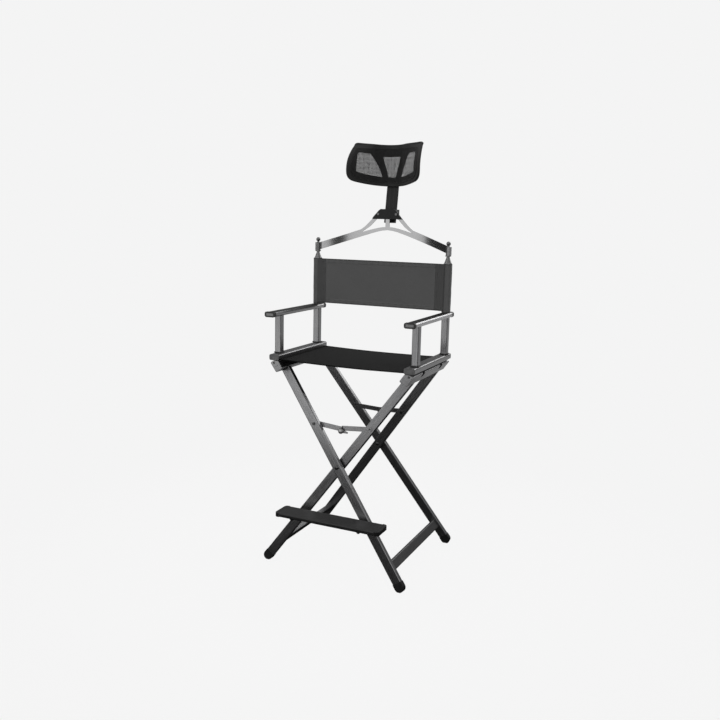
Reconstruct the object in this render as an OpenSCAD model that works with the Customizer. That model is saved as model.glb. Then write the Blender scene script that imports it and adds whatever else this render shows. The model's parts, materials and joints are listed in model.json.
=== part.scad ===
// Folding makeup chair: a tall scissor chair with a canvas seat and back, a footrest and a headrest.
// Lengths are millimetres. X runs across the chair, Y from front to back, Z up from the floor.
// The origin lies on the floor under the middle of the chair's overall size.

/* [Side frames] */
// Distance from the middle of the chair to the middle of each post
post_x = 260; // [250:1:275]
// Width of a square post tube
post_w = 24; // [18:1:25]
// Distance between the front and rear posts of one side
post_gap = 286; // [270:1:300]
// How far the posts' middle stands in front of the leg frames' middle
post_lead = 6; // [0:1:10]
// Wall of the square and flat tubes
tube_wall = 1.8; // [1.2:0.1:2.4]
// Height of the top of the seat rails
seat_z = 756; // [700:1:800]
// Width of a seat rail
rail_w = 38; // [34:1:42]
// Height of a seat rail
rail_h = 21; // [19:1:24]
// Distance from the posts' middle line in to the seat rails' middle line
rail_inset = 5; // [2:1:8]
// Reach of the seat rails in front of the leg frames' middle
rail_front = 194; // [185:1:200]
// Reach of the seat rails behind the leg frames' middle
rail_rear = 172; // [165:1:185]
// Height of the underside of the arms
arm_z = 890; // [870:1:920]
// Width of an arm
arm_w = 38; // [34:1:44]
// Height of an arm
arm_h = 17; // [14:1:20]
// Reach of the arms in front of the leg frames' middle
arm_front = 216; // [205:1:225]
// Reach of the arms behind the leg frames' middle
arm_rear = 170; // [164:1:180]
// How far an arm cap stands proud of the arm
arm_cap_lip = 1; // [0.5:0.1:1.5]
// Length of an arm cap
arm_cap_len = 10; // [6:1:14]
// Thickness of a seat rail's cap
rail_cap_len = 4; // [3:0.5:6]
// How far the rear posts stand above the back canvas
post_over = 2; // [1:1:8]
// Height of the collar round the foot of a post
collar_h = 4; // [3:0.5:6]

/* [Leg frames] */
// Height of the two crossing pivots
cross_z = 381; // [360:1:400]
// Width of a leg tube, seen from the front
leg_w = 33; // [30:1:36]
// Thickness of a leg tube from front to back
leg_t = 18; // [16:1:20]
// Distance from the leg frames' middle to an outer leg, at the crossing
outer_y = 188; // [180:1:195]
// Free space between the outer and inner legs
leg_gap = 8; // [7:0.5:10]
// Splay of the legs, which spreads them front to back towards the floor
splay = 6; // [4:0.5:8]
// Height of the middle of a lower stretcher
stretcher_z = 73; // [65:1:90]
// Height of the middle of a foot's round end
foot_z = 15.5; // [15:0.1:16.2]
// Length of a foot cap above its round end
foot_len = 16; // [10:1:24]
// How far a foot cap stands proud of its leg
foot_lip = 0.5; // [0.2:0.1:1]

/* [Hinges] */
// Distance from the middle of the chair to a seat hinge pin
pin_x = 255; // [250:1:258]
// Depth of a seat hinge pin below its seat rail
pin_drop = 9; // [9:0.5:11]
// Radius of a seat hinge pin
pin_r = 4; // [3:0.5:5]
// Running clearance of every pin in its bore
run_fit = 0.05; // [0.02:0.01:0.09]
// Distance from a hinge pin to the middle line of its legs
pin_off = 5; // [4:0.5:6]
// Radius of a hinge knuckle
knuckle_r = 8; // [7:0.5:8.5]
// Length of a hinge knuckle
knuckle_len = 18; // [12:1:30]
// Place of the front knuckle, from the leg frames' middle
knuckle_front = 88; // [80:1:98]
// Place of the rear knuckle, from the leg frames' middle
knuckle_rear = 88; // [80:1:98]
// Width of a hinge rail
hinge_w = 30; // [28:1:32]
// Height of a hinge rail along its legs
hinge_h = 41; // [38:1:44]
// Reach of a hinge rail beyond its pin, along the legs
hinge_over = 8; // [6:0.5:9]
// Free space kept round every knuckle and under the seat rails
hinge_gap = 2; // [1.5:0.5:3]
// Radius of a crossing pivot pin
cross_r = 5; // [4:0.5:6]

/* [Braces] */
// Height at which the braces are riveted to the legs
brace_z = 521; // [500:1:545]
// Width of a brace link
link_w = 17; // [14:1:19]
// Thickness of a brace link
link_t = 2; // [2:0.25:3]
// Free space between a link and its leg
link_gap = 0.3; // [0.3:0.05:0.6]
// Slope of the line from a rivet to the middle pivot of an open brace
brace_sag = 8; // [6:0.5:10]
// Slope of the links' own bars in an open brace
link_slope = 4; // [2:0.5:5]
// Length of the tab that stops the inner link of an open brace
tab_len = 26; // [18:1:32]
// Radius of a brace rivet
rivet_r = 3; // [2:0.5:4]
// Radius of the knob in the middle of a brace
knob_r = 9.5; // [7:0.5:11]

/* [Footrest] */
// Length of the footrest to the left of the middle of the chair
step_left = 180; // [165:1:200]
// Length of the footrest to the right of the middle of the chair
step_right = 212; // [195:1:225]
// Reach of the footrest's front edge before the leg frames' middle
step_front = 313; // [300:1:330]
// Depth of the footrest from front to back
step_d = 80; // [70:1:83]
// Thickness of the footrest
step_t = 14; // [10:1:16]
// Radius of the footrest's corners, seen from above
step_round = 12; // [8:1:20]
// Wall of the hollow footrest board
step_wall = 2; // [1.5:0.25:2.5]
// Height of the footrest's top
step_z = 226; // [200:1:240]
// Depth of the footrest's pins below its underside
step_drop = 8; // [7.5:0.5:12]
// Radius of the footrest's pins
step_pin_r = 4; // [3:0.5:4.5]
// Length of a hinge lug under the footrest
lug_len = 12; // [8:1:18]
// Thickness of the footrest's end caps
step_cap = 5; // [3:1:8]

/* [Canvas] */
// Thickness of the canvas
cloth = 2; // [1.5:0.1:2.2]
// Reach of the seat canvas before the leg frames' middle
seat_front = 189; // [180:1:190]
// Reach of the seat canvas behind the leg frames' middle
seat_rear = 165; // [150:1:170]
// Radius of the rods that hold the seat canvas in its rails
rod_r = 2.4; // [2:0.1:2.6]
// Free space between an arm and the lower edge of the back canvas
back_gap = 6; // [4:1:50]
// Height of the back canvas
back_h = 168; // [120:1:169]
// Width of a back sleeve round its post
sleeve_w = 31; // [28:0.5:34]
// Depth of a back sleeve round its post
sleeve_d = 28; // [26:0.5:30]

/* [Bracket] */
// Height of the top of a post cap's cone
cone_h = 20; // [14:1:26]
// Radius of a finial pin
finial_r = 8.5; // [7:0.5:9.5]
// Radius of the ball on a finial
ball_r = 8; // [6:0.5:8.5]
// Height of a hook on the bracket's end
hook_h = 30; // [24:1:36]
// Thickness of the bracket's plate
plate_t = 2.6; // [2:0.1:3.2]
// Free space between a hook and its finial
hook_gap = 0.3; // [0.2:0.05:0.35]
// How far the middle of the bracket stands behind the rear posts
bow = 56; // [45:1:65]
// Height of the plate's arms
plate_arm = 27; // [24:1:29]
// Rise of the underside of the plate's arch above the ends of its arms
arch_rise = 80; // [65:1:90]
// How round the arch is in its middle
arch_round = 12; // [6:1:24]
// Width of the band under the plate's windows
band_w = 12; // [8:1:16]
// Width of the strut between the plate's windows
strut_w = 16; // [10:1:20]
// Reach of the windows from the middle of the plate
window_x = 101; // [90:1:110]
// Width of the plate's upper arms beside the windows
yoke_w = 14; // [10:1:18]
// Rise of the headrest's base above the ends of the plate's arms
base_rise = 120; // [110:1:135]

/* [Headrest] */
// Height of the headrest's base
base_h = 37; // [30:1:44]
// Width of the base at its lower edge
base_w = 118; // [104:1:130]
// Width of the base at its upper edge
base_top_w = 70; // [68:1:80]
// How far the base's cover stands in front of the plate
base_front = 6; // [5:0.5:10]
// Width of the headrest's stem
stem_w = 46; // [38:1:47]
// Thickness of the headrest's stem
stem_t = 8; // [6:0.5:10]
// Distance from the lower edge of the base up the stem to the pad's tilting pin
tilt_s = 143; // [140:1:180]
// Reach of the stem below the lower edge of the base
stem_tail = 13; // [8:1:18]
// Lean of the stem towards the back
stem_lean = 9; // [6:0.5:11]
// Width of the head pad
pad_w = 280; // [260:2:300]
// Height of the head pad
pad_h = 150; // [130:1:160]
// Rise of the middle of the head pad above the headrest's base
pad_rise = 195; // [188:1:205]
// Distance from the middle of the bracket back to the pad's front face
pad_back = 29; // [24:1:36]
// Thickness of the pad's frame
pad_t = 9; // [8:0.5:12]
// Radius of the pad's middle, seen from above
pad_bend = 80; // [70:1:90]
// Angle of the pad's wings
wing = 42; // [35:1:44]
// Width of the frame above the mesh windows
pad_rim = 26; // [20:1:30]
// Width of the frame beside the mesh windows
pad_side_rim = 27; // [22:1:40]
// Width of the frame under the mesh windows
pad_low_rim = 32; // [26:1:38]
// Radius of the pad's round lower edge, seen from the front
pad_belly = 420; // [360:5:600]
// Radius of the pad's corners
pad_corner = 30; // [20:1:36]
// Width of the middle window at its upper edge
window_w = 66; // [56:1:72]
// Width of the ribs between the mesh windows
rib_w = 24; // [16:1:26]

/* [Hidden] */
$fn = 64;

// Side frames
front_post_y = -post_lead - post_gap / 2;
rear_post_y = -post_lead + post_gap / 2;
rail_x = post_x - rail_inset;
rail_z = seat_z - rail_h / 2;
rail_in = rail_x - rail_w / 2;
back_low = arm_z + arm_h + back_gap;
post_top = back_low + back_h + post_over;
arm_hole_fit = 0.05;
plug_len = 12;
tube_round = 3;
rail_round = 6;
arm_round = 7;
channel_wall = 2;
hem_r = rod_r + 1.4;
channel_r = hem_r + 0.8;
slit_h = cloth + 0.8;
sleeve_round = 5;

// Leg frames: each frame is drawn upright and leaned by leg_angle about the crossing
pin_z = seat_z - rail_h - pin_drop;
pin_dist = norm([pin_x, pin_z - cross_z]);
leg_angle = atan2(pin_x, pin_z - cross_z) - asin(pin_off / pin_dist);
pin_s = sqrt(pin_dist * pin_dist - pin_off * pin_off);
inner_y = outer_y - leg_t - leg_gap;
hinge_top = pin_s + hinge_over;
hinge_low = hinge_top - hinge_h;
hinge_out = pin_off + 12;
groove_h = 16;
foot_r = leg_w / 2 + foot_lip;
foot_l = (cross_z - foot_z) / cos(leg_angle) / cos(splay);
tube_end = foot_l - foot_len;
cap_t = leg_t + 2 * foot_lip;
stretcher_s = (cross_z - stretcher_z) / cos(leg_angle);
tilt_gap = 0.8;
head_r = 7;
head_h = 4;
far = 600;

// Braces
brace_s = (brace_z - cross_z) / cos(leg_angle);
brace_x = brace_s * sin(leg_angle);
link_tilt = atan(tan(splay) * sin(leg_angle));
link_len = brace_x / cos(brace_sag) / cos(link_tilt);
link_y = leg_t / 2 + link_gap;
tab_root = 2;
tab_tip = 2.5;

// Footrest
step_edge = 4;
step_under = step_z - step_t;
step_pin_z = step_under - step_drop;
step_pin_s = (cross_z - step_pin_z) / cos(leg_angle);
step_pin_x = step_pin_s * sin(leg_angle);
step_pin_end = step_front - 29;
outer_face = outer_y + step_pin_s * tan(splay);
inner_face = inner_y + step_pin_s * tan(splay);
pin_bite = 6;

foot_reach = outer_y + cap_t / 2 * cos(splay) + (foot_l + foot_r) * sin(splay);

// Bracket: the plate follows one circle, tangent to both of its hooks
cone_top = post_top + cone_h;
flange_z = cone_top + 4;
hook_z = flange_z + 3 + 0.3;
hook_in = finial_r + hook_gap;
hook_out = hook_in + plate_t;
hook_mid = hook_in + plate_t / 2;
bow_mid = rear_post_y + bow;
bow_r = (post_x * post_x + bow * bow - hook_mid * hook_mid) / (2 * (bow - hook_mid));
bow_y = bow_mid - bow_r;
hook_angle = atan2(rear_post_y - bow_y, post_x);
end_x = post_x + hook_mid * cos(hook_angle);
end_z = hook_z + (hook_h - plate_arm) / 2;
arch_slope = sqrt(arch_rise * (arch_rise + 2 * arch_round)) / end_x;
base_z = end_z + base_rise;
yoke_spread = 29;
yoke_drop = 27;
screw_x = 36;
screw_r = 4.5;
screw_seat = 0.6;
screw_len = 4;

// Headrest
pad_y = bow_mid + pad_back;
pad_z = base_z + pad_rise;
pad_low = pad_z - pad_h / 2;
pad_top = pad_z + pad_h / 2;
stem_z = base_z;
pad_gap = 1.2;
stem_front = pad_y + pad_t + pad_gap - (pad_low - stem_z) * tan(stem_lean);
stem_y = stem_front + stem_t / 2 / cos(stem_lean);
tilt_y = stem_y + tilt_s * sin(stem_lean);
tilt_z = stem_z + tilt_s * cos(stem_lean);
tilt_r = 3;
barrel_r = 8;
ear_gap = 0.4;
ear_w = 6;
slot_fit = 0.2;
clamp_wall = 6;
wing_len = (pad_w / 2 - pad_bend * sin(wing)) / cos(wing);
mesh_t = 1.6;

// The chair is shifted so that the origin lies under the middle of its overall depth
rear_reach = max(foot_reach, tilt_y + barrel_r);
frame_y = (step_front - rear_reach) / 2;

graphite = [0.13, 0.13, 0.14];
plastic = [0.07, 0.07, 0.07];
canvas = [0.1, 0.1, 0.1];
silver = [0.7, 0.7, 0.72];

// Shapes that are used again and again

module placed() translate([0, frame_y, 0]) children();

module sided(side) {
  if (side < 0) mirror([1, 0, 0]) children();
  else children();
}

// A rectangle with round corners
module rounded(w, h, r) {
  square([w - 2 * r, h], center = true);
  square([w, h - 2 * r], center = true);
  for (x = [-1, 1], y = [-1, 1])
    translate([x * (w / 2 - r), y * (h / 2 - r)]) circle(r);
}

module tube_section(w, h, r) {
  difference() {
    rounded(w, h, r);
    rounded(w - 2 * tube_wall, h - 2 * tube_wall, r - tube_wall / 2);
  }
}

// Draws a section in X and Z from y0 back to y1
module along_y(y0, y1) {
  translate([0, y1, 0]) rotate([90, 0, 0]) linear_extrude(height = y1 - y0) children();
}

module rod_y(r, y0, y1) {
  translate([0, y1, 0]) rotate([90, 0, 0]) cylinder(r = r, h = y1 - y0);
}

// A plug in the end of a tube, at y, that reaches in by plug_len towards +Y or -Y
module plug(w, h, y, way) {
  along_y(min(y, y + way * plug_len), max(y, y + way * plug_len))
    rounded(w - 2 * tube_wall, h - 2 * tube_wall, tube_round - tube_wall / 2);
}

// Side frames

module rail_outline() translate([rail_x, rail_z]) rounded(rail_w, rail_h, rail_round);

// The channel that holds the seat canvas by its rod, open towards the middle of the chair
channel_x = rail_in + channel_r + channel_wall;
channel_z = seat_z - rail_h + channel_wall + channel_r;
canvas_z = channel_z - hem_r + cloth / 2;

module seat_rail(side) {
  hollow_w = rail_w - 2 * channel_r - 3 * channel_wall;
  sided(side) along_y(-rail_front + rail_cap_len, rail_rear - rail_cap_len)
    difference() {
      rail_outline();
      translate([rail_x + rail_w / 2 - channel_wall - hollow_w / 2, rail_z])
        rounded(hollow_w, rail_h - 2 * channel_wall, tube_round);
      translate([channel_x, channel_z]) circle(channel_r);
      translate([rail_in - 1, canvas_z - slit_h / 2]) square([channel_r + channel_wall + 1, slit_h]);
    }
}

module rail_caps(side) {
  sided(side) {
    along_y(-rail_front, -rail_front + rail_cap_len) rail_outline();
    along_y(rail_rear - rail_cap_len, rail_rear) rail_outline();
  }
}

module post(side, y, top) {
  translate([side * post_x, y, seat_z])
    linear_extrude(height = top - seat_z) tube_section(post_w, post_w, tube_round);
}

module post_collars(side) {
  for (y = [front_post_y, rear_post_y])
    translate([side * post_x, y, seat_z]) linear_extrude(height = collar_h)
      difference() {
        rounded(post_w + 5, post_w + 5, tube_round + 1);
        rounded(post_w + 0.1, post_w + 0.1, tube_round);
      }
}

module arm(side) {
  difference() {
    translate([side * post_x, 0, arm_z + arm_h / 2])
      along_y(-arm_front + arm_cap_len, arm_rear - arm_cap_len) tube_section(arm_w, arm_h, arm_round);
    translate([side * post_x, rear_post_y, arm_z - 1]) linear_extrude(height = arm_h + 2)
      rounded(post_w + 2 * arm_hole_fit, post_w + 2 * arm_hole_fit, tube_round);
  }
}

module arm_caps(side) {
  cap_w = arm_w + 2 * arm_cap_lip;
  cap_h = arm_h + 2 * arm_cap_lip;
  translate([side * post_x, 0, arm_z + arm_h / 2]) {
    along_y(-arm_front, -arm_front + arm_cap_len) rounded(cap_w, cap_h, arm_round);
    along_y(arm_rear - arm_cap_len, arm_rear) rounded(cap_w, cap_h, arm_round);
    plug(arm_w - 6, arm_h - 2, -arm_front + arm_cap_len, 1);
  }
}

// The plug, cone, neck, flange, pin and ball on the top of a rear post
module finial(side) {
  ball_z = hook_z + hook_h + 3 + ball_r;
  translate([side * post_x, rear_post_y, 0]) rotate_extrude() {
    translate([0, post_top - plug_len]) square([post_w / 2 - tube_wall - 0.1, plug_len]);
    polygon([[0, post_top], [post_w / 2 + 1, post_top], [6, cone_top], [0, cone_top]]);
    translate([0, cone_top]) square([6, flange_z - cone_top]);
    translate([0, flange_z]) square([finial_r + 2, 3]);
    translate([0, flange_z + 3]) square([finial_r, hook_h - 1]);
    translate([0, flange_z + 2 + hook_h]) square([ball_r / 2, 6]);
    intersection() {
      translate([0, ball_z]) circle(ball_r);
      translate([0, ball_z - ball_r]) square([ball_r, 2 * ball_r]);
    }
  }
}

// Seat hinges: the pin and two knuckles belong to the side, the hinge rail to the legs

module hinge_pin(side) translate([side * pin_x, 0, pin_z]) rod_y(pin_r, -rail_front + 1, rail_rear - 1);

module knuckles(side) {
  for (y = [-knuckle_front, knuckle_rear])
    sided(side) translate([pin_x, 0, 0])
      along_y(y - knuckle_len / 2, y + knuckle_len / 2)
        difference() {
          union() {
            translate([0, pin_z]) circle(knuckle_r);
            translate([-knuckle_r, pin_z]) square([2 * knuckle_r, pin_drop]);
          }
          translate([0, pin_z]) circle(pin_r);
        }
}

// Puts a leg frame in place: local Z runs up the legs, local X points outboard at the top
module frame_place(side) {
  translate([0, 0, cross_z]) sided(side) rotate([0, leg_angle, 0]) children();
}

// Puts a leg in its frame: end is -1 in front and 1 behind
module leg_place(side, end, leg_y) {
  frame_place(side) translate([0, end * leg_y, 0]) rotate([end * splay, 0, 0]) children();
}

module hinge_rail(side) {
  gap_len = knuckle_len + 2 * hinge_gap;
  difference() {
    frame_place(side) difference() {
      translate([hinge_out - hinge_w / 2, 0, hinge_low + hinge_h / 2])
        along_y(-rail_front, rail_rear) difference() {
          rounded(hinge_w, hinge_h, 4);
          translate([0, (groove_h - hinge_h) / 2 + tube_wall])
            rounded(hinge_w - 2 * tube_wall - 2, groove_h, 2);
        }
      translate([pin_off, 0, pin_s]) rod_y(pin_r + run_fit, -rail_front - 1, rail_rear + 1);
      for (y = [-knuckle_front, knuckle_rear])
        translate([-hinge_w, y - gap_len / 2, pin_s - knuckle_r - hinge_gap])
          cube([2 * hinge_w, gap_len, hinge_h]);
    }
    translate([side * pin_x - far / 2, -far / 2, seat_z - rail_h - hinge_gap]) cube([far, far, far]);
  }
}

// Leg frames

module bore_y(r, x, z) translate([x, 0, z]) rod_y(r, -far, far);

module leg(side, end, leg_y) {
  difference() {
    leg_place(side, end, leg_y) translate([0, 0, -tube_end])
      linear_extrude(height = tube_end + hinge_top) tube_section(leg_w, leg_t, tube_round);
    frame_place(side) translate([-far / 2, -far / 2, hinge_low]) cube([far, far, far]);
    bore_y(cross_r + run_fit, 0, cross_z);
    leg_place(side, end, leg_y) translate([0, 0, brace_s / cos(splay)]) rod_y(rivet_r, -leg_t, leg_t);
    if (end < 0) bore_y(step_pin_r, -side * step_pin_x, step_pin_z);
  }
}

module stretcher(side, leg_y) {
  frame_place(side) difference() {
    translate([0, 0, -stretcher_s])
      along_y(-far / 2, far / 2) tube_section(leg_t, leg_w, tube_round);
    for (end = [-1, 1])
      translate([0, end * leg_y, 0]) rotate([end * splay, 0, 0])
        translate([-far / 2, end < 0 ? leg_t / 2 - far : -leg_t / 2, -far]) cube([far, far, far]);
  }
}

module foot_caps(side, leg_y) {
  inner_w = leg_w - 2 * tube_wall;
  inner_t = leg_t - 2 * tube_wall;
  for (end = [-1, 1])
    difference() {
      leg_place(side, end, leg_y) {
        translate([0, 0, -foot_l]) along_y(-cap_t / 2, cap_t / 2) intersection() {
          union() {
            circle(foot_r);
            translate([-foot_r, 0]) square([2 * foot_r, foot_len]);
          }
          translate([-foot_r, -foot_r]) square([2 * foot_r, foot_r + foot_len]);
        }
        translate([0, 0, -tube_end]) linear_extrude(height = plug_len)
          rounded(inner_w, inner_t, tube_round - tube_wall / 2);
      }
      translate([-far, -far, -far]) cube([2 * far, 2 * far, far]);
    }
}

// A rivet or bolt along Y with a round head at each end
module rivet(r, head, y0, y1) {
  rod_y(r, y0 - 1, y1 + 1);
  for (way = [-1, 1])
    translate([0, way < 0 ? y0 : y1, 0]) rotate([-90 * way, 0, 0]) rotate_extrude()
      intersection() {
        translate([0, head_h - head * 1.4]) circle(head * 1.4);
        square([head, head_h]);
      }
}

// One crossing pivot: its pin and the spacer between the two legs
module cross_pivot(end) {
  half = leg_t / 2 / cos(splay) + tilt_gap;
  ends = [end * (outer_y + half), end * (inner_y - half)];
  gap = [end * (outer_y - half), end * (inner_y + half)];
  translate([0, 0, cross_z]) {
    rivet(cross_r, head_r, min(ends), max(ends));
    rod_y(head_r, min(gap), max(gap));
  }
}

// Braces: each link is drawn in the plane of the leg that it is riveted to

module link_place(side, end) {
  leg_y = side < 0 ? outer_y : inner_y;
  leg_place(side, end, leg_y) translate([0, 0, brace_s / cos(splay)])
    rotate([0, -(leg_angle + brace_sag), 0]) children();
}

// Links face the gap between the outer and the inner leg
function link_way(side, end) = side * end;

// A link: a bar from its rivet, and an eye that hangs a little lower, round the middle pivot
module link(side, end) {
  way = link_way(side, end);
  y0 = way > 0 ? link_y : -link_y - link_t;
  half = link_w / 2;
  link_place(side, end) along_y(y0, y0 + link_t) difference() {
    union() {
      circle(half);
      rotate(link_slope - brace_sag) translate([-link_len, -half]) square([link_len, link_w]);
      translate([-link_len, 0]) circle(half);
      if (side < 0) translate([-link_len, 0])
        polygon([[0, half - tab_root], [-tab_len, tab_tip], [-tab_len, -tab_tip], [0, tab_root - half]]);
    }
    circle(rivet_r + run_fit);
    translate([-link_len, 0]) circle(rivet_r);
  }
}

// The rivets that hold the links of one leg frame
module brace_rivets(side) {
  for (end = [-1, 1]) {
    way = link_way(side, end);
    ends = [way * (link_y + link_t + 0.3), -way * leg_t / 2];
    link_place(side, end) {
      rod_y(rivet_r, min(ends), max(ends));
      translate([0, -way * (leg_t / 2 + 1.2), 0]) rod_y(rivet_r + 2.5, -1.2, 1.2);
    }
  }
}

// The knob stands in front of its link, and its shank ends short of the other link
module brace_knob(end) {
  way = link_way(-1, end);
  face = way * link_y;
  tip = way * (link_y + link_t);
  link_place(-1, end) translate([-link_len, 0, 0]) {
    rod_y(rivet_r, min(face, tip), max(face, tip));
    translate([0, face, 0]) rotate([90 * way, 0, 0]) rotate_extrude()
      intersection() {
        translate([0, knob_r * 0.3]) circle(knob_r);
        square([knob_r, 2 * knob_r]);
      }
  }
}

// Footrest

module step_outline() {
  len = step_left + step_right;
  translate([(step_right - step_left) / 2, -step_front + step_d / 2]) rounded(len, step_d, step_round);
}

// Length of an end cap, which holds the round corners
step_end = step_cap + step_round;

// The board is a hollow tube with a web along its middle
module footrest_board() {
  hollow_d = (step_d - 3 * step_wall) / 2;
  translate([step_end - step_left, -step_front + step_d / 2, step_under + step_t / 2])
    rotate([90, 0, 90]) linear_extrude(height = step_left + step_right - 2 * step_end)
      difference() {
        rounded(step_d, step_t, step_edge);
        for (way = [-1, 1]) translate([way * (hollow_d + step_wall) / 2, 0])
          rounded(hollow_d, step_t - 2 * step_wall, step_edge - step_wall);
      }
}

module footrest_end_caps() {
  difference() {
    translate([0, 0, step_under]) linear_extrude(height = step_t) step_outline();
    translate([step_end - step_left, -step_front - 1, step_under - 1])
      cube([step_left + step_right - 2 * step_end, step_d + 2, step_t + 2]);
  }
}

lug_near = -step_pin_end + 5;
lug_back = -step_front + step_d - 8 - lug_len;

module footrest_lugs() {
  for (y = [lug_near, lug_back])
    translate([step_pin_x, 0, 0]) along_y(y, y + lug_len) difference() {
      union() {
        translate([0, step_pin_z]) circle(step_drop - 1);
        translate([-step_drop + 1, step_pin_z]) square([2 * step_drop - 2, step_drop]);
      }
      translate([0, step_pin_z]) circle(step_pin_r + run_fit);
    }
}

module footrest_hinge_pin() {
  translate([step_pin_x, 0, step_pin_z]) {
    rod_y(step_pin_r, -step_pin_end, -outer_face + pin_bite);
    rod_y(step_pin_r + 3, -step_pin_end - 3, -step_pin_end);
    rod_y(step_pin_r + 3, -outer_face - leg_t / 2 - 5, -outer_face - leg_t / 2 - 1.2);
  }
}

// The peg that the footrest's free end lies on, with its soft sleeve
module footrest_rest_peg() {
  translate([-step_pin_x, 0, step_pin_z]) {
    rod_y(step_pin_r, -step_pin_end, -inner_face + pin_bite);
    rod_y(step_drop - 0.3, -step_pin_end - 3, -step_front + step_d + 4);
    rod_y(step_pin_r + 3, -inner_face - leg_t / 2 - 5, -inner_face - leg_t / 2 - 1.2);
  }
}

// Canvas

module seat_hem(side, near) {
  difference() {
    sided(side) translate([channel_x, 0, channel_z]) rod_y(hem_r, -seat_front, seat_rear);
    sided(side) translate([channel_x, 0, channel_z]) rod_y(rod_r + near, -seat_front - 1, seat_rear + 1);
  }
}

module seat_canvas() {
  difference() {
    translate([-channel_x, -seat_front, canvas_z - cloth / 2])
      cube([2 * channel_x, seat_front + seat_rear, cloth]);
    for (side = [-1, 1])
      sided(side) translate([channel_x, 0, channel_z]) rod_y(hem_r - 0.3, -far, far);
  }
  for (side = [-1, 1]) seat_hem(side, 0.3);
}

module seat_rod(side) {
  inside = rail_cap_len + 0.3;
  translate([side * channel_x, 0, channel_z]) rod_y(rod_r, inside - rail_front, rail_rear - inside);
}

module back_sleeve(side) {
  translate([side * post_x, rear_post_y, back_low]) linear_extrude(height = back_h) difference() {
    rounded(sleeve_w, sleeve_d, sleeve_round);
    rounded(post_w + 0.2, post_w + 0.2, tube_round);
  }
}

module back_canvas() {
  reach = post_x - sleeve_w / 2;
  y = rear_post_y - sleeve_d / 2 + sleeve_round - cloth / 2;
  translate([-reach, y, back_low]) cube([2 * reach, cloth, back_h]);
}

// Bracket

module bow_ring(r0, r1, z, h) {
  translate([0, bow_y, z]) difference() {
    cylinder(r = r1, h = h, $fn = 128);
    translate([0, 0, -1]) cylinder(r = r0, h = h + 2, $fn = 128);
  }
}

// Height of the arch's underside: straight at the ends and round in the middle
function arch_z(x) = end_z + arch_rise + arch_round - norm([arch_slope * x, arch_round]);

// The upper arm's edge, from the base down to the shoulder; an inset gives its inner edge
function yoke(inset) = [
  [base_w / 2 - 1 - inset, base_z + 4],
  [base_w / 2 + yoke_spread * 0.38 - inset, base_z - yoke_drop / 3],
  [base_w / 2 + yoke_spread - inset, base_z - yoke_drop]
];

// Half of the plate seen from the front: one arm, the arch and an upper arm
module plate_half() {
  top_z = base_z + base_h - 8;
  polygon(concat(
    [for (i = [0:12]) [end_x * i / 12, arch_z(end_x * i / 12)]],
    [[end_x, end_z + plate_arm], [window_x + 3, arch_z(window_x + 3) + plate_arm]],
    [for (i = [2:-1:0]) yoke(0)[i]],
    [[base_top_w / 2 - 6, top_z], [0, top_z]]
  ));
}

// The open window between the arch, the upper arm and the strut
module plate_window() {
  near = strut_w / 2;
  polygon(concat(
    [for (i = [0:6]) let (x = near + (window_x - near) * i / 6) [x, arch_z(x) + band_w + 4 * i / 6]],
    [for (i = [2:-1:0]) yoke(yoke_w * 1.35)[i]],
    [[near, base_z + 4]]
  ));
}

module bracket_plate() {
  intersection() {
    bow_ring(bow_r - plate_t / 2, bow_r + plate_t / 2, end_z - 1, far / 3);
    along_y(0, far) for (side = [-1, 1]) sided(side) difference() {
      plate_half();
      plate_window();
    }
  }
  for (side = [-1, 1]) sided(side)
    translate([post_x, rear_post_y, hook_z]) rotate([0, 0, -88])
      rotate_extrude(angle = 88 + hook_angle) translate([hook_in, 0]) square([plate_t, hook_h]);
}

// Headrest

module base_outline() {
  polygon([
    [-base_w / 2, base_z], [base_w / 2, base_z], [base_w / 2 - 2, base_z + 6],
    [base_top_w / 2, base_z + base_h - 6], [base_top_w / 2 - 8, base_z + base_h],
    [-base_top_w / 2 + 8, base_z + base_h], [-base_top_w / 2, base_z + base_h - 6],
    [-base_w / 2 + 2, base_z + 6]
  ]);
}

module screw_place() {
  front_r = bow_r - plate_t / 2 - base_front;
  for (x = [-screw_x, screw_x])
    translate([x, bow_y + sqrt(front_r * front_r - x * x) + screw_seat, base_z + base_h / 2]) children();
}

// The cover in front of the plate, with a flat seat and a hole for each screw
module headrest_base() {
  difference() {
    intersection() {
      bow_ring(bow_r - plate_t / 2 - base_front, bow_r - plate_t / 2, base_z - 1, base_h + 2);
      along_y(0, far) base_outline();
    }
    screw_place() {
      rod_y(screw_r + 0.3, -base_front, 0);
      rod_y(screw_r / 2, -1, screw_len);
    }
  }
}

module headrest_screws() {
  screw_place() {
    rod_y(screw_r, -2, 0);
    rod_y(screw_r / 2, -1, screw_len);
  }
}

// The clamp behind the plate that the stem slides in
module headrest_clamp() {
  back = stem_y + base_h * tan(stem_lean) + stem_t / 2 + clamp_wall;
  difference() {
    intersection() {
      translate([0, 0, base_z]) linear_extrude(height = base_h - 1)
        translate([0, back - far / 4]) rounded(base_top_w - 8, far / 2, 5);
      difference() {
        translate([-base_w, 0, base_z]) cube([2 * base_w, back, base_h - 1]);
        translate([0, bow_y, base_z - 1]) cylinder(r = bow_r + plate_t / 2, h = base_h + 2, $fn = 128);
      }
    }
    stem_place() translate([0, 0, -far / 4]) linear_extrude(height = far / 2)
      rounded(stem_w + 2 * slot_fit, stem_t + 2 * slot_fit, 2);
  }
}

module stem_place() translate([0, stem_y, stem_z]) rotate([-stem_lean, 0, 0]) children();

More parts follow.
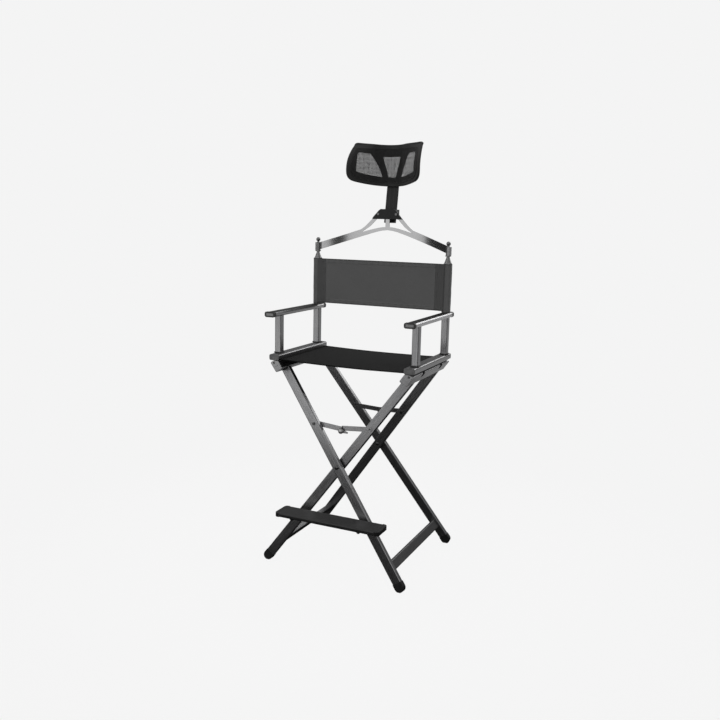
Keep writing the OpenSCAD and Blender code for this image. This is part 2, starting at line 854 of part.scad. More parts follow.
module headrest_stem() {
  difference() {
    union() {
      stem_place() translate([0, 0, -stem_tail])
        linear_extrude(height = stem_tail + tilt_s - barrel_r + 3) rounded(stem_w, stem_t, 2);
      translate([0, tilt_y, tilt_z]) rotate([0, 90, 0])
        cylinder(r = barrel_r, h = stem_w + ear_gap, center = true);
    }
    translate([0, tilt_y, tilt_z]) rotate([0, 90, 0]) cylinder(r = tilt_r, h = far, center = true);
  }
}

module headrest_tilt_pin() {
  len = stem_w + 2 * ear_gap + 2 * ear_w + 1;
  translate([0, tilt_y, tilt_z]) rotate([0, 90, 0]) cylinder(r = tilt_r - run_fit, h = len, center = true);
}

// One edge of the pad seen from above, from left to right: a wing, the round middle, a wing
function pad_edge(y) = let (r = pad_bend + y, cy = pad_y - pad_bend, end = [wing_len, r]) concat(
  [[-end.x * cos(wing) - end.y * sin(wing), cy - end.x * sin(wing) + end.y * cos(wing)]],
  [for (i = [-10:10]) [r * sin(wing * i / 10), cy + r * cos(wing * i / 10)]],
  [[end.x * cos(wing) + end.y * sin(wing), cy - end.x * sin(wing) + end.y * cos(wing)]]
);

// The pad's bent shell from y0 to y1 behind its front face
module pad_shell(y0, y1) {
  back = pad_edge(y1);
  translate([0, 0, pad_z - pad_h]) linear_extrude(height = 2 * pad_h)
    polygon(concat(pad_edge(y0), [for (i = [len(back) - 1:-1:0]) back[i]]));
}

// The pad's outline from the front, less an even edge
module pad_outline(edge) {
  intersection() {
    translate([0, pad_z]) rounded(pad_w + 4 - 2 * edge, pad_h - 2 * edge, pad_corner - edge / 2);
    translate([0, pad_low + pad_belly]) circle(pad_belly - edge, $fn = 128);
  }
}

// The inner edge of a side window at a share of its height: the rib beside it widens upwards
function window_edge(t) = window_w / 2 * (0.37 + 0.66 * t) + rib_w * (0.7 + 0.75 * t * t);

// A point of the windows' lower edge, which runs along the pad's belly
function window_low(x) = [x, pad_low + pad_belly - sqrt(pow(pad_belly - pad_low_rim, 2) - x * x)];

module pad_windows() {
  low = pad_low + pad_low_rim;
  high = pad_top - pad_rim;
  outer = pad_w / 2 - pad_side_rim;
  near = window_edge(0);
  low_out = outer - pad_rim * 0.12;
  mid_low = window_w * 0.19;
  mid_high = high - 0.6 * rib_w;
  polygon([
    [-window_w / 2, mid_high], [window_w / 2, mid_high],
    window_low(mid_low), window_low(-mid_low)
  ]);
  for (side = [-1, 1]) sided(side) polygon(concat(
    [for (i = [3:-1:0]) window_low(near + (low_out - near) * i / 4)],
    [for (i = [1:4]) [window_edge(i / 4), low + (high - 4 - low) * i / 4]],
    [[outer - pad_rim * 0.65, high], [outer - pad_rim * 0.2, high - pad_rim], window_low(low_out)]
  ));
}

module headrest_frame() {
  difference() {
    union() {
      intersection() {
        pad_shell(0, pad_t);
        along_y(-far, far) difference() {
          pad_outline(0);
          pad_windows();
        }
      }
      for (side = [-1, 1]) sided(side) translate([stem_w / 2 + ear_gap, 0, tilt_z]) {
        translate([0, tilt_y, 0]) rotate([0, 90, 0]) cylinder(r = barrel_r, h = ear_w);
        translate([0, pad_y + pad_t / 2, -barrel_r]) cube([ear_w, tilt_y - pad_y - pad_t / 2, 2 * barrel_r]);
      }
    }
    translate([0, tilt_y, tilt_z]) rotate([0, 90, 0]) cylinder(r = tilt_r, h = far, center = true);
  }
}

module headrest_mesh() {
  intersection() {
    pad_shell(-mesh_t, 0);
    along_y(-far, far) pad_outline(14);
  }
}

color(graphite) placed() seat_rail(-1);  // left_seat_rail
color(graphite) placed() seat_rail(1);  // right_seat_rail
color(plastic) placed() rail_caps(-1);  // left_rail_caps
color(plastic) placed() rail_caps(1);  // right_rail_caps
color(graphite) placed() post(-1, front_post_y, arm_z);  // left_front_post
color(graphite) placed() post(1, front_post_y, arm_z);  // right_front_post
color(graphite) placed() post(-1, rear_post_y, post_top);  // left_rear_post
color(graphite) placed() post(1, rear_post_y, post_top);  // right_rear_post
color(plastic) placed() post_collars(-1);  // left_post_collars
color(plastic) placed() post_collars(1);  // right_post_collars
color(graphite) placed() arm(-1);  // left_arm
color(graphite) placed() arm(1);  // right_arm
color(plastic) placed() arm_caps(-1);  // left_arm_caps
color(plastic) placed() arm_caps(1);  // right_arm_caps
color(graphite) placed() finial(-1);  // left_finial
color(graphite) placed() finial(1);  // right_finial
color(silver) placed() hinge_pin(-1);  // left_hinge_pin
color(silver) placed() hinge_pin(1);  // right_hinge_pin
color(plastic) placed() knuckles(-1);  // left_knuckles
color(plastic) placed() knuckles(1);  // right_knuckles
color(graphite) placed() hinge_rail(-1);  // left_hinge_rail
color(graphite) placed() hinge_rail(1);  // right_hinge_rail
color(graphite) placed() leg(-1, -1, outer_y);  // outer_front_leg
color(graphite) placed() leg(-1, 1, outer_y);  // outer_rear_leg
color(graphite) placed() leg(1, -1, inner_y);  // inner_front_leg
color(graphite) placed() leg(1, 1, inner_y);  // inner_rear_leg
color(graphite) placed() stretcher(-1, outer_y);  // outer_stretcher
color(graphite) placed() stretcher(1, inner_y);  // inner_stretcher
color(plastic) placed() foot_caps(-1, outer_y);  // outer_foot_caps
color(plastic) placed() foot_caps(1, inner_y);  // inner_foot_caps
color(silver) placed() cross_pivot(-1);  // front_cross_pivot
color(silver) placed() cross_pivot(1);  // rear_cross_pivot
color(graphite) placed() link(-1, -1);  // front_outer_link
color(graphite) placed() link(1, -1);  // front_inner_link
color(graphite) placed() link(-1, 1);  // rear_outer_link
color(graphite) placed() link(1, 1);  // rear_inner_link
color(silver) placed() brace_rivets(-1);  // outer_brace_rivets
color(silver) placed() brace_rivets(1);  // inner_brace_rivets
color(silver) placed() brace_knob(-1);  // front_brace_knob
color(silver) placed() brace_knob(1);  // rear_brace_knob
color(graphite) placed() footrest_board();
color(plastic) placed() footrest_end_caps();
color(plastic) placed() footrest_lugs();
color(silver) placed() footrest_hinge_pin();
color(plastic) placed() footrest_rest_peg();
color(canvas) placed() seat_canvas();
color(plastic) placed() seat_rod(-1);  // left_seat_rod
color(plastic) placed() seat_rod(1);  // right_seat_rod
color(canvas) placed() back_canvas();
color(canvas) placed() back_sleeve(-1);  // left_back_sleeve
color(canvas) placed() back_sleeve(1);  // right_back_sleeve
color(silver) placed() bracket_plate();
color(plastic) placed() headrest_base();
color(silver) placed() headrest_screws();
color(plastic) placed() headrest_clamp();
color(plastic) placed() headrest_stem();
color(silver) placed() headrest_tilt_pin();
color(plastic) placed() headrest_frame();
color(canvas) placed() headrest_mesh();
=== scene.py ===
import json
import math

import bmesh
import bpy
from mathutils import Matrix, Vector, noise


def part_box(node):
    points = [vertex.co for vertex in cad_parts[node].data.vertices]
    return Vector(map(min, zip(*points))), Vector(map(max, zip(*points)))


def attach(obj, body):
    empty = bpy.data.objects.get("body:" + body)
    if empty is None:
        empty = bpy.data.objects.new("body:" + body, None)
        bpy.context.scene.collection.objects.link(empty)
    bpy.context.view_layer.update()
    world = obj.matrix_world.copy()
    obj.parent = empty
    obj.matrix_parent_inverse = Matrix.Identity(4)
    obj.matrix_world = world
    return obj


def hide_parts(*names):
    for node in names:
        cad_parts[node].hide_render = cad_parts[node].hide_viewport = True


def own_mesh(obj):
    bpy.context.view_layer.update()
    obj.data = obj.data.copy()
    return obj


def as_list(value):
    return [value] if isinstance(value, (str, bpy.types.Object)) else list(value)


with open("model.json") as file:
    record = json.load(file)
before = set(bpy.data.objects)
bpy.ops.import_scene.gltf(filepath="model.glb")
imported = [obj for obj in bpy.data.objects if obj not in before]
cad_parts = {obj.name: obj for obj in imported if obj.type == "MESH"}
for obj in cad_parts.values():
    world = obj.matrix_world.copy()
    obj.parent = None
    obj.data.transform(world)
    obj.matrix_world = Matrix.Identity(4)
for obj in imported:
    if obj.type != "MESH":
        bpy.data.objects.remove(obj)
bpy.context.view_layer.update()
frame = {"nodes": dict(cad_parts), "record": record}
cad = frame["nodes"]
print("chair: frame loaded,", len(cad), "CAD pieces")


# Measures taken from the frame

def middle(node):
    low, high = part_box(node)
    return (low + high) / 2


def size(node):
    low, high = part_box(node)
    return high - low


# Camera: the photograph's view, fitted on the chair's own parallel edges

cameraView = {
    "azimuth": 24.8,         # degrees to the chair's right
    "elevation": 10.1,
    "roll": 1.27,
    "distance": 2.8816,      # metres
    "aimRight": -0.01035,
    "aimHeight": 0.7308,
    "lens": 39.98,           # millimetres
    "farthest": 60,          # metres
}


def makeCamera(view):
    turn, rise, roll = (math.radians(view[key]) for key in ("azimuth", "elevation", "roll"))
    away = Vector((math.sin(turn) * math.cos(rise), -math.cos(turn) * math.cos(rise), math.sin(rise)))
    flat = Vector((math.cos(turn), math.sin(turn), 0))
    upright = away.cross(flat)
    right = flat * math.cos(roll) + upright * math.sin(roll)
    up = upright * math.cos(roll) - flat * math.sin(roll)
    legsMiddle = (middle("outer_front_leg") + middle("outer_rear_leg")) / 2
    aim = Vector((0, legsMiddle.y, view["aimHeight"])) + right * view["aimRight"]
    data = bpy.data.cameras.new("photoCamera")
    data.lens = view["lens"]
    data.clip_end = view["farthest"]
    camera = bpy.data.objects.new("photoCamera", data)
    turned = Matrix((right, up, away)).transposed().to_4x4()
    camera.matrix_world = Matrix.Translation(aim + away * view["distance"]) @ turned
    bpy.context.scene.collection.objects.link(camera)
    bpy.context.scene.camera = camera


makeCamera(cameraView)
bpy.context.scene.view_settings.view_transform = "Standard"
print("chair: camera set")


# Shader maths: a Signal is one socket of one material

noiseRange = (0.3, 0.7)   # most of a noise texture's values lie between these


class Signal:
    def __init__(self, tree, socket):
        self.tree = tree
        self.socket = socket

    def make(self, kind, settings, sockets, out=0):
        node = self.tree.nodes.new(kind)
        for key, value in settings.items():
            if key == "stops":
                while len(node.color_ramp.elements) < len(value):
                    node.color_ramp.elements.new(0.5)
                for element, (place, grey) in zip(node.color_ramp.elements, value):
                    element.position = place
                    element.color = (grey, grey, grey, 1)
            else:
                setattr(node, key, value)
        for key, value in sockets.items():
            if isinstance(value, Signal):
                self.tree.links.new(value.socket, node.inputs[key])
            else:
                node.inputs[key].default_value = value
        return Signal(self.tree, node.outputs[out])

    def maths(self, operation, first, second=0.0):
        return self.make("ShaderNodeMath", {"operation": operation}, {0: first, 1: second})

    def __add__(self, other):
        return self.maths("ADD", self, other)

    def __radd__(self, other):
        return self.maths("ADD", other, self)

    def __sub__(self, other):
        return self.maths("SUBTRACT", self, other)

    def __rsub__(self, other):
        return self.maths("SUBTRACT", other, self)

    def __mul__(self, other):
        return self.maths("MULTIPLY", self, other)

    def __rmul__(self, other):
        return self.maths("MULTIPLY", other, self)

    def __gt__(self, other):
        return self.maths("GREATER_THAN", self, other)

    def __lt__(self, other):
        return self.maths("LESS_THAN", self, other)

    def sine(self):
        return self.maths("SINE", self)

    def absolute(self):
        return self.maths("ABSOLUTE", self)

    def clamp(self):
        return self.make("ShaderNodeClamp", {}, {"Value": self})

    def part(self, axis):
        split = self.make("ShaderNodeSeparateXYZ", {}, {0: self})
        return Signal(self.tree, split.socket.node.outputs["XYZ".index(axis)])

    def scaled(self, factors):
        return self.make("ShaderNodeVectorMath", {"operation": "MULTIPLY"}, {0: self, 1: factors})

    def turned(self, angles):
        return self.make("ShaderNodeMapping", {"vector_type": "POINT"},
                         {"Vector": self, "Rotation": angles})

    def noise(self, scale, detail=3, roughness=0.5):
        return self.make("ShaderNodeTexNoise", {},
                         {"Vector": self, "Scale": scale, "Detail": detail, "Roughness": roughness})

    def spread(self, low, high, toLow=0.0, toHigh=1.0):
        return self.make("ShaderNodeMapRange", {"clamp": True}, {
            "Value": self, "From Min": low, "From Max": high, "To Min": toLow, "To Max": toHigh})

    def even(self, toLow=0.0, toHigh=1.0):
        return self.spread(*noiseRange, toLow, toHigh)

    def ramp(self, stops):
        return self.make("ShaderNodeValToRGB", {"stops": stops}, {"Fac": self})

    def tint(self, first, second):
        return self.make("ShaderNodeMix", {"data_type": "RGBA"}, {0: self, 6: first, 7: second}, out=2)

    def bump(self, look, normal=None):
        sockets = {"Height": self, "Strength": look["bump"], "Distance": look["depth"]}
        if normal is not None:
            sockets["Normal"] = normal
        return self.make("ShaderNodeBump", {}, sockets)


def colour(grey, cast=(1, 1, 1)):
    return (grey * cast[0], grey * cast[1], grey * cast[2], 1)


def mottled(mask, grey, mottle, cast=(1, 1, 1)):
    # from the darker share of this grey to the lighter one, where cast tints the lighter one
    return mask.even().tint(colour(grey * mottle[0]), colour(grey * mottle[1], cast))


def newMaterial(name, dressing):
    material = bpy.data.materials.new(name)
    material.use_nodes = True
    tree = material.node_tree
    tree.nodes.clear()
    output = tree.nodes.new("ShaderNodeOutputMaterial")
    place = Signal(tree, None).make("ShaderNodeTexCoord", {}, {}, out=3)
    surface = dressing(place)
    tree.links.new(surface.socket, output.inputs["Surface"])
    return material


def principled(place, sockets):
    return place.make("ShaderNodeBsdfPrincipled", {}, sockets)


def namedFinish(socketsAt):
    # Makes a finish from a function that works out the shader's sockets at a place. The finish
    # is called with its material's name, and then with what the function takes after the place.
    def makeFinish(name, *choices, **named):
        def dressing(place):
            return principled(place, socketsAt(place, *choices, **named))

        return newMaterial(name, dressing)

    return makeFinish


# starts and full are the cosines of the rounded normal's turn from the face's own
edgeLook = {"samples": 4, "starts": 0.995, "full": 0.88}


def edgeNormal(place, radius):
    return place.make("ShaderNodeBevel", {"samples": edgeLook["samples"]}, {"Radius": radius})


def edgeMask(place, rounded):
    # 1 along the edges, where the rounded normal leaves the face's own
    own = place.make("ShaderNodeNewGeometry", {}, {}, out=1)
    share = place.make("ShaderNodeVectorMath", {"operation": "DOT_PRODUCT"}, {0: rounded, 1: own}, out=1)
    return share.spread(edgeLook["starts"], edgeLook["full"])


# Finishes. In each dictionary lengths are in metres, a scale is a noise's own, and a pair
# called roughness or mottle runs from its least to its most. bump and depth are the relief's.

anodised = {
    "grey": 0.33, "variation": 0.02, "coolCast": (0.99, 1, 1.03), "warmCast": (1.01, 1, 1),
    "metallic": 0.95, "roughness": 0.25, "lineRoughness": 0.08, "cloudRoughness": 0.05,
    "lineScale": 800, "lineStretch": 0.01, "lineRange": (0.35, 0.65), "wider": 6,
    "cloudScale": 7, "cloudShare": 0.6, "speckScale": 2600, "wearScale": 160, "wear": (0.35, 0.6, 0.25, 1),
    "edge": 0.0011, "edgeLight": 0.46, "stripGrey": 0.012, "stripRoughness": 0.12,
    "lineHeight": 0.5, "speckHeight": 0.35, "bump": 0.12, "depth": 0.0004,
}
# the arms' sides are lit and shaded copies of one finish: the right arm's side is painted light grey, with
# lighter edges, as a painted reflection, and the left arm's side a darker grey as painted shade, as it
# mirrors the darker side of the room
armPaintedLight = {
    "left": dict(anodised, grey=0.42, edge=0.003, edgeLight=0.6, roughness=0.28),
    "right": dict(anodised, grey=0.68, edge=0.0055, edgeLight=0.85, roughness=0.3),
}
# the stretchers by the floor are a darker copy of the anodised finish: painted shade
stretcherPaintedShade = dict(anodised, grey=0.17, edgeLight=0.2, roughness=0.32)


def turnToZ(along):
    return Vector(along).normalized().rotation_difference(Vector((0, 0, 1))).to_euler()


@namedFinish
def anodisedTube(place, along, look=anodised, strip=None):
    # along is the tube's direction: the extrusion lines run that way
    # strip gives a black strip on an arm's top: its middle x, half width and least height
    drawn = place.turned(turnToZ(along)).scaled((1, 1, look["lineStretch"]))
    lines = drawn.noise(look["lineScale"], detail=2)
    wide = drawn.noise(look["lineScale"] / look["wider"], detail=2)
    cloud = place.noise(look["cloudScale"], detail=4)
    specks = place.noise(look["speckScale"], detail=1)
    rounded = edgeNormal(place, look["edge"])
    base, change, share = look["grey"], look["variation"], look["cloudShare"]
    face = (cloud * share + wide * (1 - share)).even().tint(
        colour(base - change, look["coolCast"]), colour(base + change, look["warmCast"]))
    # lighter edges: wear, and on the arms, with their wider and lighter edges, also a painted highlight
    wearAndHighlight = edgeMask(place, rounded) * place.noise(look["wearScale"]).spread(*look["wear"])
    grey = wearAndHighlight.tint(face, colour(look["edgeLight"]))
    rough = lines.spread(*look["lineRange"], look["roughness"] - look["lineRoughness"] / 2,
                         look["roughness"] + look["lineRoughness"]) + cloud * look["cloudRoughness"]
    metallic = look["metallic"]
    if strip:
        centre, half, least = strip
        onStrip = ((place.part("X") - centre).absolute() < half) * (place.part("Z") > least)
        grey = onStrip.tint(grey, colour(look["stripGrey"]))
        rough = rough + onStrip * look["stripRoughness"]
        metallic = metallic * (1 - onStrip)
    height = lines * look["lineHeight"] + specks * look["speckHeight"]
    return {
        "Base Color": grey, "Metallic": metallic, "Roughness": rough,
        "Normal": height.bump(look, rounded)}


plastic = {
    "grey": 0.017, "mottle": (0.8, 1.3), "metallic": 0.0, "roughness": (0.37, 0.5), "gloss": 0.4,
    "grain": 1500, "cloudScale": 30, "scuffScale": 220, "scuff": (0.55, 0.75, 0, 0.12),
    "edge": 0.0009, "edgeShare": 0.6, "edgeLight": 1.6, "edgeLift": 0.008,
    "grooveLight": 2.4, "grooveGrain": 0.3, "grooveDepth": 3, "bump": 0.25, "depth": 0.0003,
}
basePlastic = dict(plastic, grey=0.011)
capPlastic = dict(plastic, grey=0.17, metallic=0.85)
footPlastic = dict(plastic, grey=0.02, roughness=(0.4, 0.53))


@namedFinish
def mouldedPlastic(place, look=plastic, grooves=None):
    # grooves gives pressed lines: their distance from x = 0 and their half width
    grain = place.noise(look["grain"], detail=2)
    cloud = place.noise(look["cloudScale"])
    scuff = place.noise(look["scuffScale"], detail=5, roughness=0.7)
    rounded = edgeNormal(place, look["edge"])
    grey = mottled(cloud, look["grey"], look["mottle"])
    light = colour(look["grey"] * look["edgeLight"] + look["edgeLift"])
    grey = (edgeMask(place, rounded) * look["edgeShare"]).tint(grey, light)
    height = grain
    if grooves:
        away, half = grooves
        line = ((place.part("X").absolute() - away).absolute()).spread(half, 0)
        grey = line.tint(grey, colour(look["grey"] * look["grooveLight"]))
        height = grain * look["grooveGrain"] - line * look["grooveDepth"]
    return {
        "Base Color": grey, "Metallic": look["metallic"], "Specular IOR Level": look["gloss"],
        "Roughness": grain.even(*look["roughness"]) + scuff.spread(*look["scuff"]),
        "Normal": height.bump(look, rounded)}


# sideFade and topFade are where the grey middle fades into the rim's painted shade, in rims from the cap's
# sides and its top
capRimShade = {
    "grey": 0.289, "black": (0.025, 0.04), "metallic": 0.85, "roughness": (0.34, 0.47),
    "rim": 0.006, "sideFade": (0.8, 1.3), "topFade": (0.6, 1.1),
    "grain": 1500, "cloudScale": 60, "edge": 0.0009, "grainHeight": 0.3, "bump": 0.25, "depth": 0.0003,
}


@namedFinish
def rimShadedCap(place, node, look=capRimShade):
    # A grey metallic middle on the cap's end faces, with a black rim round it that is painted shade
    low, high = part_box(node)
    centre, half = (low + high) / 2, (high - low) / 2

    def within(axis, fade):
        i = "XYZ".index(axis)
        away = (place.part(axis) - centre[i]).absolute()
        return away.spread(half[i] - look["rim"] * fade[0], half[i] - look["rim"] * fade[1])

    grain = place.noise(look["grain"], detail=2)
    cloud = place.noise(look["cloudScale"])
    rounded = edgeNormal(place, look["edge"])
    inside = within("X", look["sideFade"]) * within("Z", look["topFade"])
    # the rim's black is painted shade
    rimShadeGrey = mottled(cloud, 1, look["black"])
    return {
        "Base Color": inside.tint(rimShadeGrey, colour(look["grey"])), "Metallic": inside * look["metallic"],
        "Roughness": grain.even(*look["roughness"]),
        "Normal": (grain * look["grainHeight"] + inside).bump(look, rounded)}


ribbed = {
    "grey": 0.03, "mottle": (0.85, 1.25), "metallic": 0.25, "roughness": (0.33, 0.48), "pitch": 0.005,
    "grain": 1300, "cloudScale": 24, "edge": 0.0012, "edgeGrey": 0.12, "ribHeight": 2, "grainHeight": 0.4,
    "bump": 0.3, "depth": 0.0006, "skin": 0.0006,
}


@namedFinish
def ribbedBoard(place, top, look=ribbed):
    # the footrest's tread: fine ribs that run the board's length, on its top only
    rib = (place.part("Y") * (2 * math.pi / look["pitch"])).sine()
    up = place.part("Z") > top - look["skin"]
    grain = place.noise(look["grain"], detail=2)
    cloud = place.noise(look["cloudScale"], detail=4)
    rounded = edgeNormal(place, look["edge"])
    grey = mottled(cloud, look["grey"], look["mottle"])
    grey = edgeMask(place, rounded).tint(grey, colour(look["edgeGrey"]))
    height = rib * up * look["ribHeight"] + grain * look["grainHeight"]
    return {
        "Base Color": grey, "Metallic": look["metallic"], "Roughness": cloud.even(*look["roughness"]),
        "Normal": height.bump(look, rounded)}


brushed = {
    "grey": 0.56, "mottle": (0.95, 1.05), "cast": (1, 1, 1.01), "roughness": (0.08, 0.16),
    "lineScale": 1400, "lineStretch": 0.012, "cloudScale": 11, "edge": 0.0005, "edgeShare": 0.7,
    "edgeGrey": 0.78, "hookReach": 0.02, "hookRoughness": 0.3, "hookDull": 0.45,
    "bump": 0.04, "depth": 0.0002,
}


@namedFinish
def brushedAluminium(place, node, along, look=brushed):
    # the hooks at the plate's ends are blasted, so they are duller than the plate
    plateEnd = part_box(node)[1].x
    drawn = place.turned(turnToZ(along)).scaled((1, 1, look["lineStretch"]))
    lines = drawn.noise(look["lineScale"])
    cloud = place.noise(look["cloudScale"])
    rounded = edgeNormal(place, look["edge"])
    grey = mottled(cloud, look["grey"], look["mottle"], look["cast"])
    grey = (edgeMask(place, rounded) * look["edgeShare"]).tint(grey, colour(look["edgeGrey"]))
    hook = place.part("X").absolute() > plateEnd - look["hookReach"]
    return {
        "Base Color": grey, "Metallic": 1 - hook * look["hookDull"],
        "Roughness": lines.even(*look["roughness"]) + hook * look["hookRoughness"],
        "Normal": lines.bump(look, rounded)}


turnedLook = {
    "mottle": (0.85, 1.15), "smoother": 0.06, "rougher": 0.08, "fineScale": 1800, "edge": 0.0005,
    "edgeShare": 0.5, "edgeLight": 2, "brightest": 0.6, "bump": 0.06, "depth": 0.0003,
}


@namedFinish
def turnedSteel(place, grey, roughness=0.3, look=turnedLook):
    fine = place.noise(look["fineScale"], detail=2)
    rounded = edgeNormal(place, look["edge"])
    light = colour(min(grey * look["edgeLight"], look["brightest"]))
    face = mottled(fine, grey, look["mottle"])
    return {
        "Base Color": (edgeMask(place, rounded) * look["edgeShare"]).tint(face, light), "Metallic": 1.0,
        "Roughness": fine.even(roughness - look["smoother"], roughness + look["rougher"]),
        "Normal": fine.bump(look, rounded)}


# Cloth places its weave by the flat cut: x across the cloth and y along it, in metres.
# z tells how much darker the cloth is there: where it is folded over and sewn, and on the seat beside each
# rail, where it is painted shade.

canvas = {
    "cloudScale": 9, "slubScale": 900, "slubStretch": 0.06, "weaveShade": 0.14, "slubShade": 0.8,
    "cloudShade": 0.4, "darker": 0.1, "foldShare": 0.3, "sheenRoughness": 0.5,
    "weaveHeight": 0.5, "threadHeight": 0.3, "slubHeight": 0.6, "bump": 0.5,
}
seatLook = dict(canvas, dark=0.019, light=0.036, pitch=0.0011, roughness=(0.88, 0.98), sheen=0.03, gloss=0.04,
                depth=0.0004)
backLook = dict(canvas, dark=0.15, light=0.225, pitch=0.0009, roughness=(0.86, 0.96), sheen=0.15, gloss=0.2,
                depth=0.0003)


@namedFinish
def canvasCloth(place, look):
    flat = place.make("ShaderNodeAttribute", {"attribute_name": "clothPlace"}, {}, out=1)
    across, along, foldAndShade = flat.part("X"), flat.part("Y"), flat.part("Z")
    turn = 2 * math.pi / look["pitch"]
    weave = (across * turn).sine() * (along * turn).sine()
    threads = [(way * (turn / 2)).sine().absolute() * 0.5 for way in (across, along)]
    stretch = look["slubStretch"]
    slubs = [flat.scaled(factors).noise(look["slubScale"], detail=2) * 0.5
             for factors in ((1, stretch, 0), (stretch, 1, 0))]
    slub = slubs[0] + slubs[1]
    cloud = flat.scaled((1, 1, 0)).noise(look["cloudScale"], detail=4)
    shade = weave * look["weaveShade"] + slub * look["slubShade"] + cloud * look["cloudShade"]
    grey = (shade - look["darker"]).clamp().tint(colour(look["dark"]), colour(look["light"]))
    grey = foldAndShade.clamp().tint(grey, colour(look["dark"] * look["foldShare"]))
    height = (weave * look["weaveHeight"] + (threads[0] + threads[1]) * look["threadHeight"]
              + slub * look["slubHeight"])
    return {
        "Base Color": grey, "Roughness": cloud.even(*look["roughness"]),
        "Sheen Weight": look["sheen"], "Sheen Roughness": look["sheenRoughness"],
        "Specular IOR Level": look["gloss"], "Normal": height.bump(look)}


thread = {"mottle": (0.7, 1.3), "roughness": 0.8, "twistScale": 3500, "bump": 0.4, "depth": 0.0002}


@namedFinish
def stitching(place, grey, look=thread):
    twist = place.noise(look["twistScale"], detail=1)
    return {
        "Base Color": mottled(twist, grey, look["mottle"]), "Roughness": look["roughness"],
        "Normal": twist.bump(look)}


meshLook = {
    "grey": 0.03, "mottle": (0.7, 1.4), "roughness": 0.75, "sheen": 0.2, "frontPitch": 0.0024,
    "backPitch": 0.0019, "slant": 45, "yarnWidth": 0.4464, "yarnScale": 1500, "yarnHeight": 0.4,
    "bump": 0.5, "depth": 0.0004,
}


@namedFinish
def openMesh(place, look):
    # Two layers of knitted net: the front one on the slant, the back one straight.
    # The cut's z is 0 on the front layer and 1 on the back one.
    def net(vector, pitch):
        turn = math.pi / pitch
        return (vector.part("X") * turn).sine().absolute() * (vector.part("Y") * turn).sine().absolute()

    flat = place.make("ShaderNodeAttribute", {"attribute_name": "clothPlace"}, {}, out=1)
    front = net(flat.turned((0, 0, math.radians(look["slant"]))), look["frontPitch"])
    behind = net(flat, look["backPitch"])
    layer = flat.part("Z")
    hole = front * (1 - layer) + behind * layer
    yarn = flat.noise(look["yarnScale"], detail=2)
    return {
        "Base Color": mottled(yarn, look["grey"], look["mottle"]), "Roughness": look["roughness"],
        "Sheen Weight": look["sheen"], "Alpha": hole < look["yarnWidth"],
        "Normal": (yarn * look["yarnHeight"] - hole).bump(look)}


foam = {
    "grey": 0.026, "mottle": (0.8, 1.25), "roughness": (0.55, 0.72), "sheen": 0.15, "sheenRoughness": 0.5,
    "pitch": 0.0013, "cloudScale": 18, "cloudShade": 0.7, "fineScale": 1200, "fineShade": 0.3,
    "knitShade": 0.08, "knitHeight": 0.5, "bump": 0.3, "depth": 0.0003,
}


@namedFinish
def coveredFoam(place, look=foam):
    # The pad's frame: foam under a fine knitted cloth
    turn = 2 * math.pi / look["pitch"]
    knit = (place.part("X") * turn).sine() * (place.part("Z") * turn).sine()
    cloud = place.noise(look["cloudScale"], detail=4)
    fine = place.noise(look["fineScale"], detail=2)
    shade = cloud * look["cloudShade"] + fine * look["fineShade"] + knit * look["knitShade"]
    height = (knit + fine) * look["knitHeight"]
    return {
        "Base Color": mottled(shade.clamp(), look["grey"], look["mottle"]),
        "Roughness": fine.even(*look["roughness"]), "Sheen Weight": look["sheen"],
        "Sheen Roughness": look["sheenRoughness"],
        "Normal": height.bump(look)}


# Which piece gets which finish

tube, caps = {}, {}
for side, lean in (("outer", 1), ("inner", -1)):
    for end, spread in (("front", -1), ("rear", 1)):
        reach = size(f"{side}_{end}_leg")
        tube[f"{side}_{end}_leg"] = anodisedTube(
            f"anodised_{side}_{end}_leg", (lean * reach.x, spread * reach.y, -reach.z))
    tube[f"{side}_stretcher"] = anodisedTube(f"anodised_{side}_stretcher", (0, 1, 0), stretcherPaintedShade)
alongX = anodisedTube("anodisedAcross", (1, 0, 0))
alongY = anodisedTube("anodisedDeep", (0, 1, 0))
alongZ = anodisedTube("anodisedUpright", (0, 0, 1))
armStrip = {"halfShare": 0.4, "skin": 0.0012}   # share of the arm's width, and metres from its top
for side in ("left", "right"):
    low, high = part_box(f"{side}_arm")
    strip = ((low.x + high.x) / 2, (high.x - low.x) * armStrip["halfShare"], high.z - armStrip["skin"])
    tube[f"{side}_arm"] = anodisedTube(f"anodised_{side}_arm", (0, 1, 0), armPaintedLight[side], strip)
    caps[f"{side}_arm_caps"] = rimShadedCap(f"inlaidCap_{side}", f"{side}_arm_caps")
blackPlastic = mouldedPlastic("blackPlastic")
railCap = mouldedPlastic("capPlastic", capPlastic)
footCap = mouldedPlastic("footPlastic", footPlastic)
silver = brushedAluminium("bracketAluminium", "bracket_plate", (1, 0, 0))
darkSteel = turnedSteel("darkSteel", grey=0.11)
knobSteel = turnedSteel("knobSteel", grey=0.62, roughness=0.5)
greySteel = turnedSteel("greySteel", grey=0.2)
polishedSteel = turnedSteel("polishedSteel", grey=0.26, roughness=0.24)
seatCloth = canvasCloth("seatCanvas", seatLook)
backCloth = canvasCloth("backCanvas", backLook)
seatThread = stitching("seatThread", grey=0.012)
backThread = stitching("backThread", grey=0.04)
headCloth = openMesh("headMesh", meshLook)
headFoam = coveredFoam("headFoam")
stemGrooves = (0.008, 0.0022)   # distance from x = 0 and half width, metres
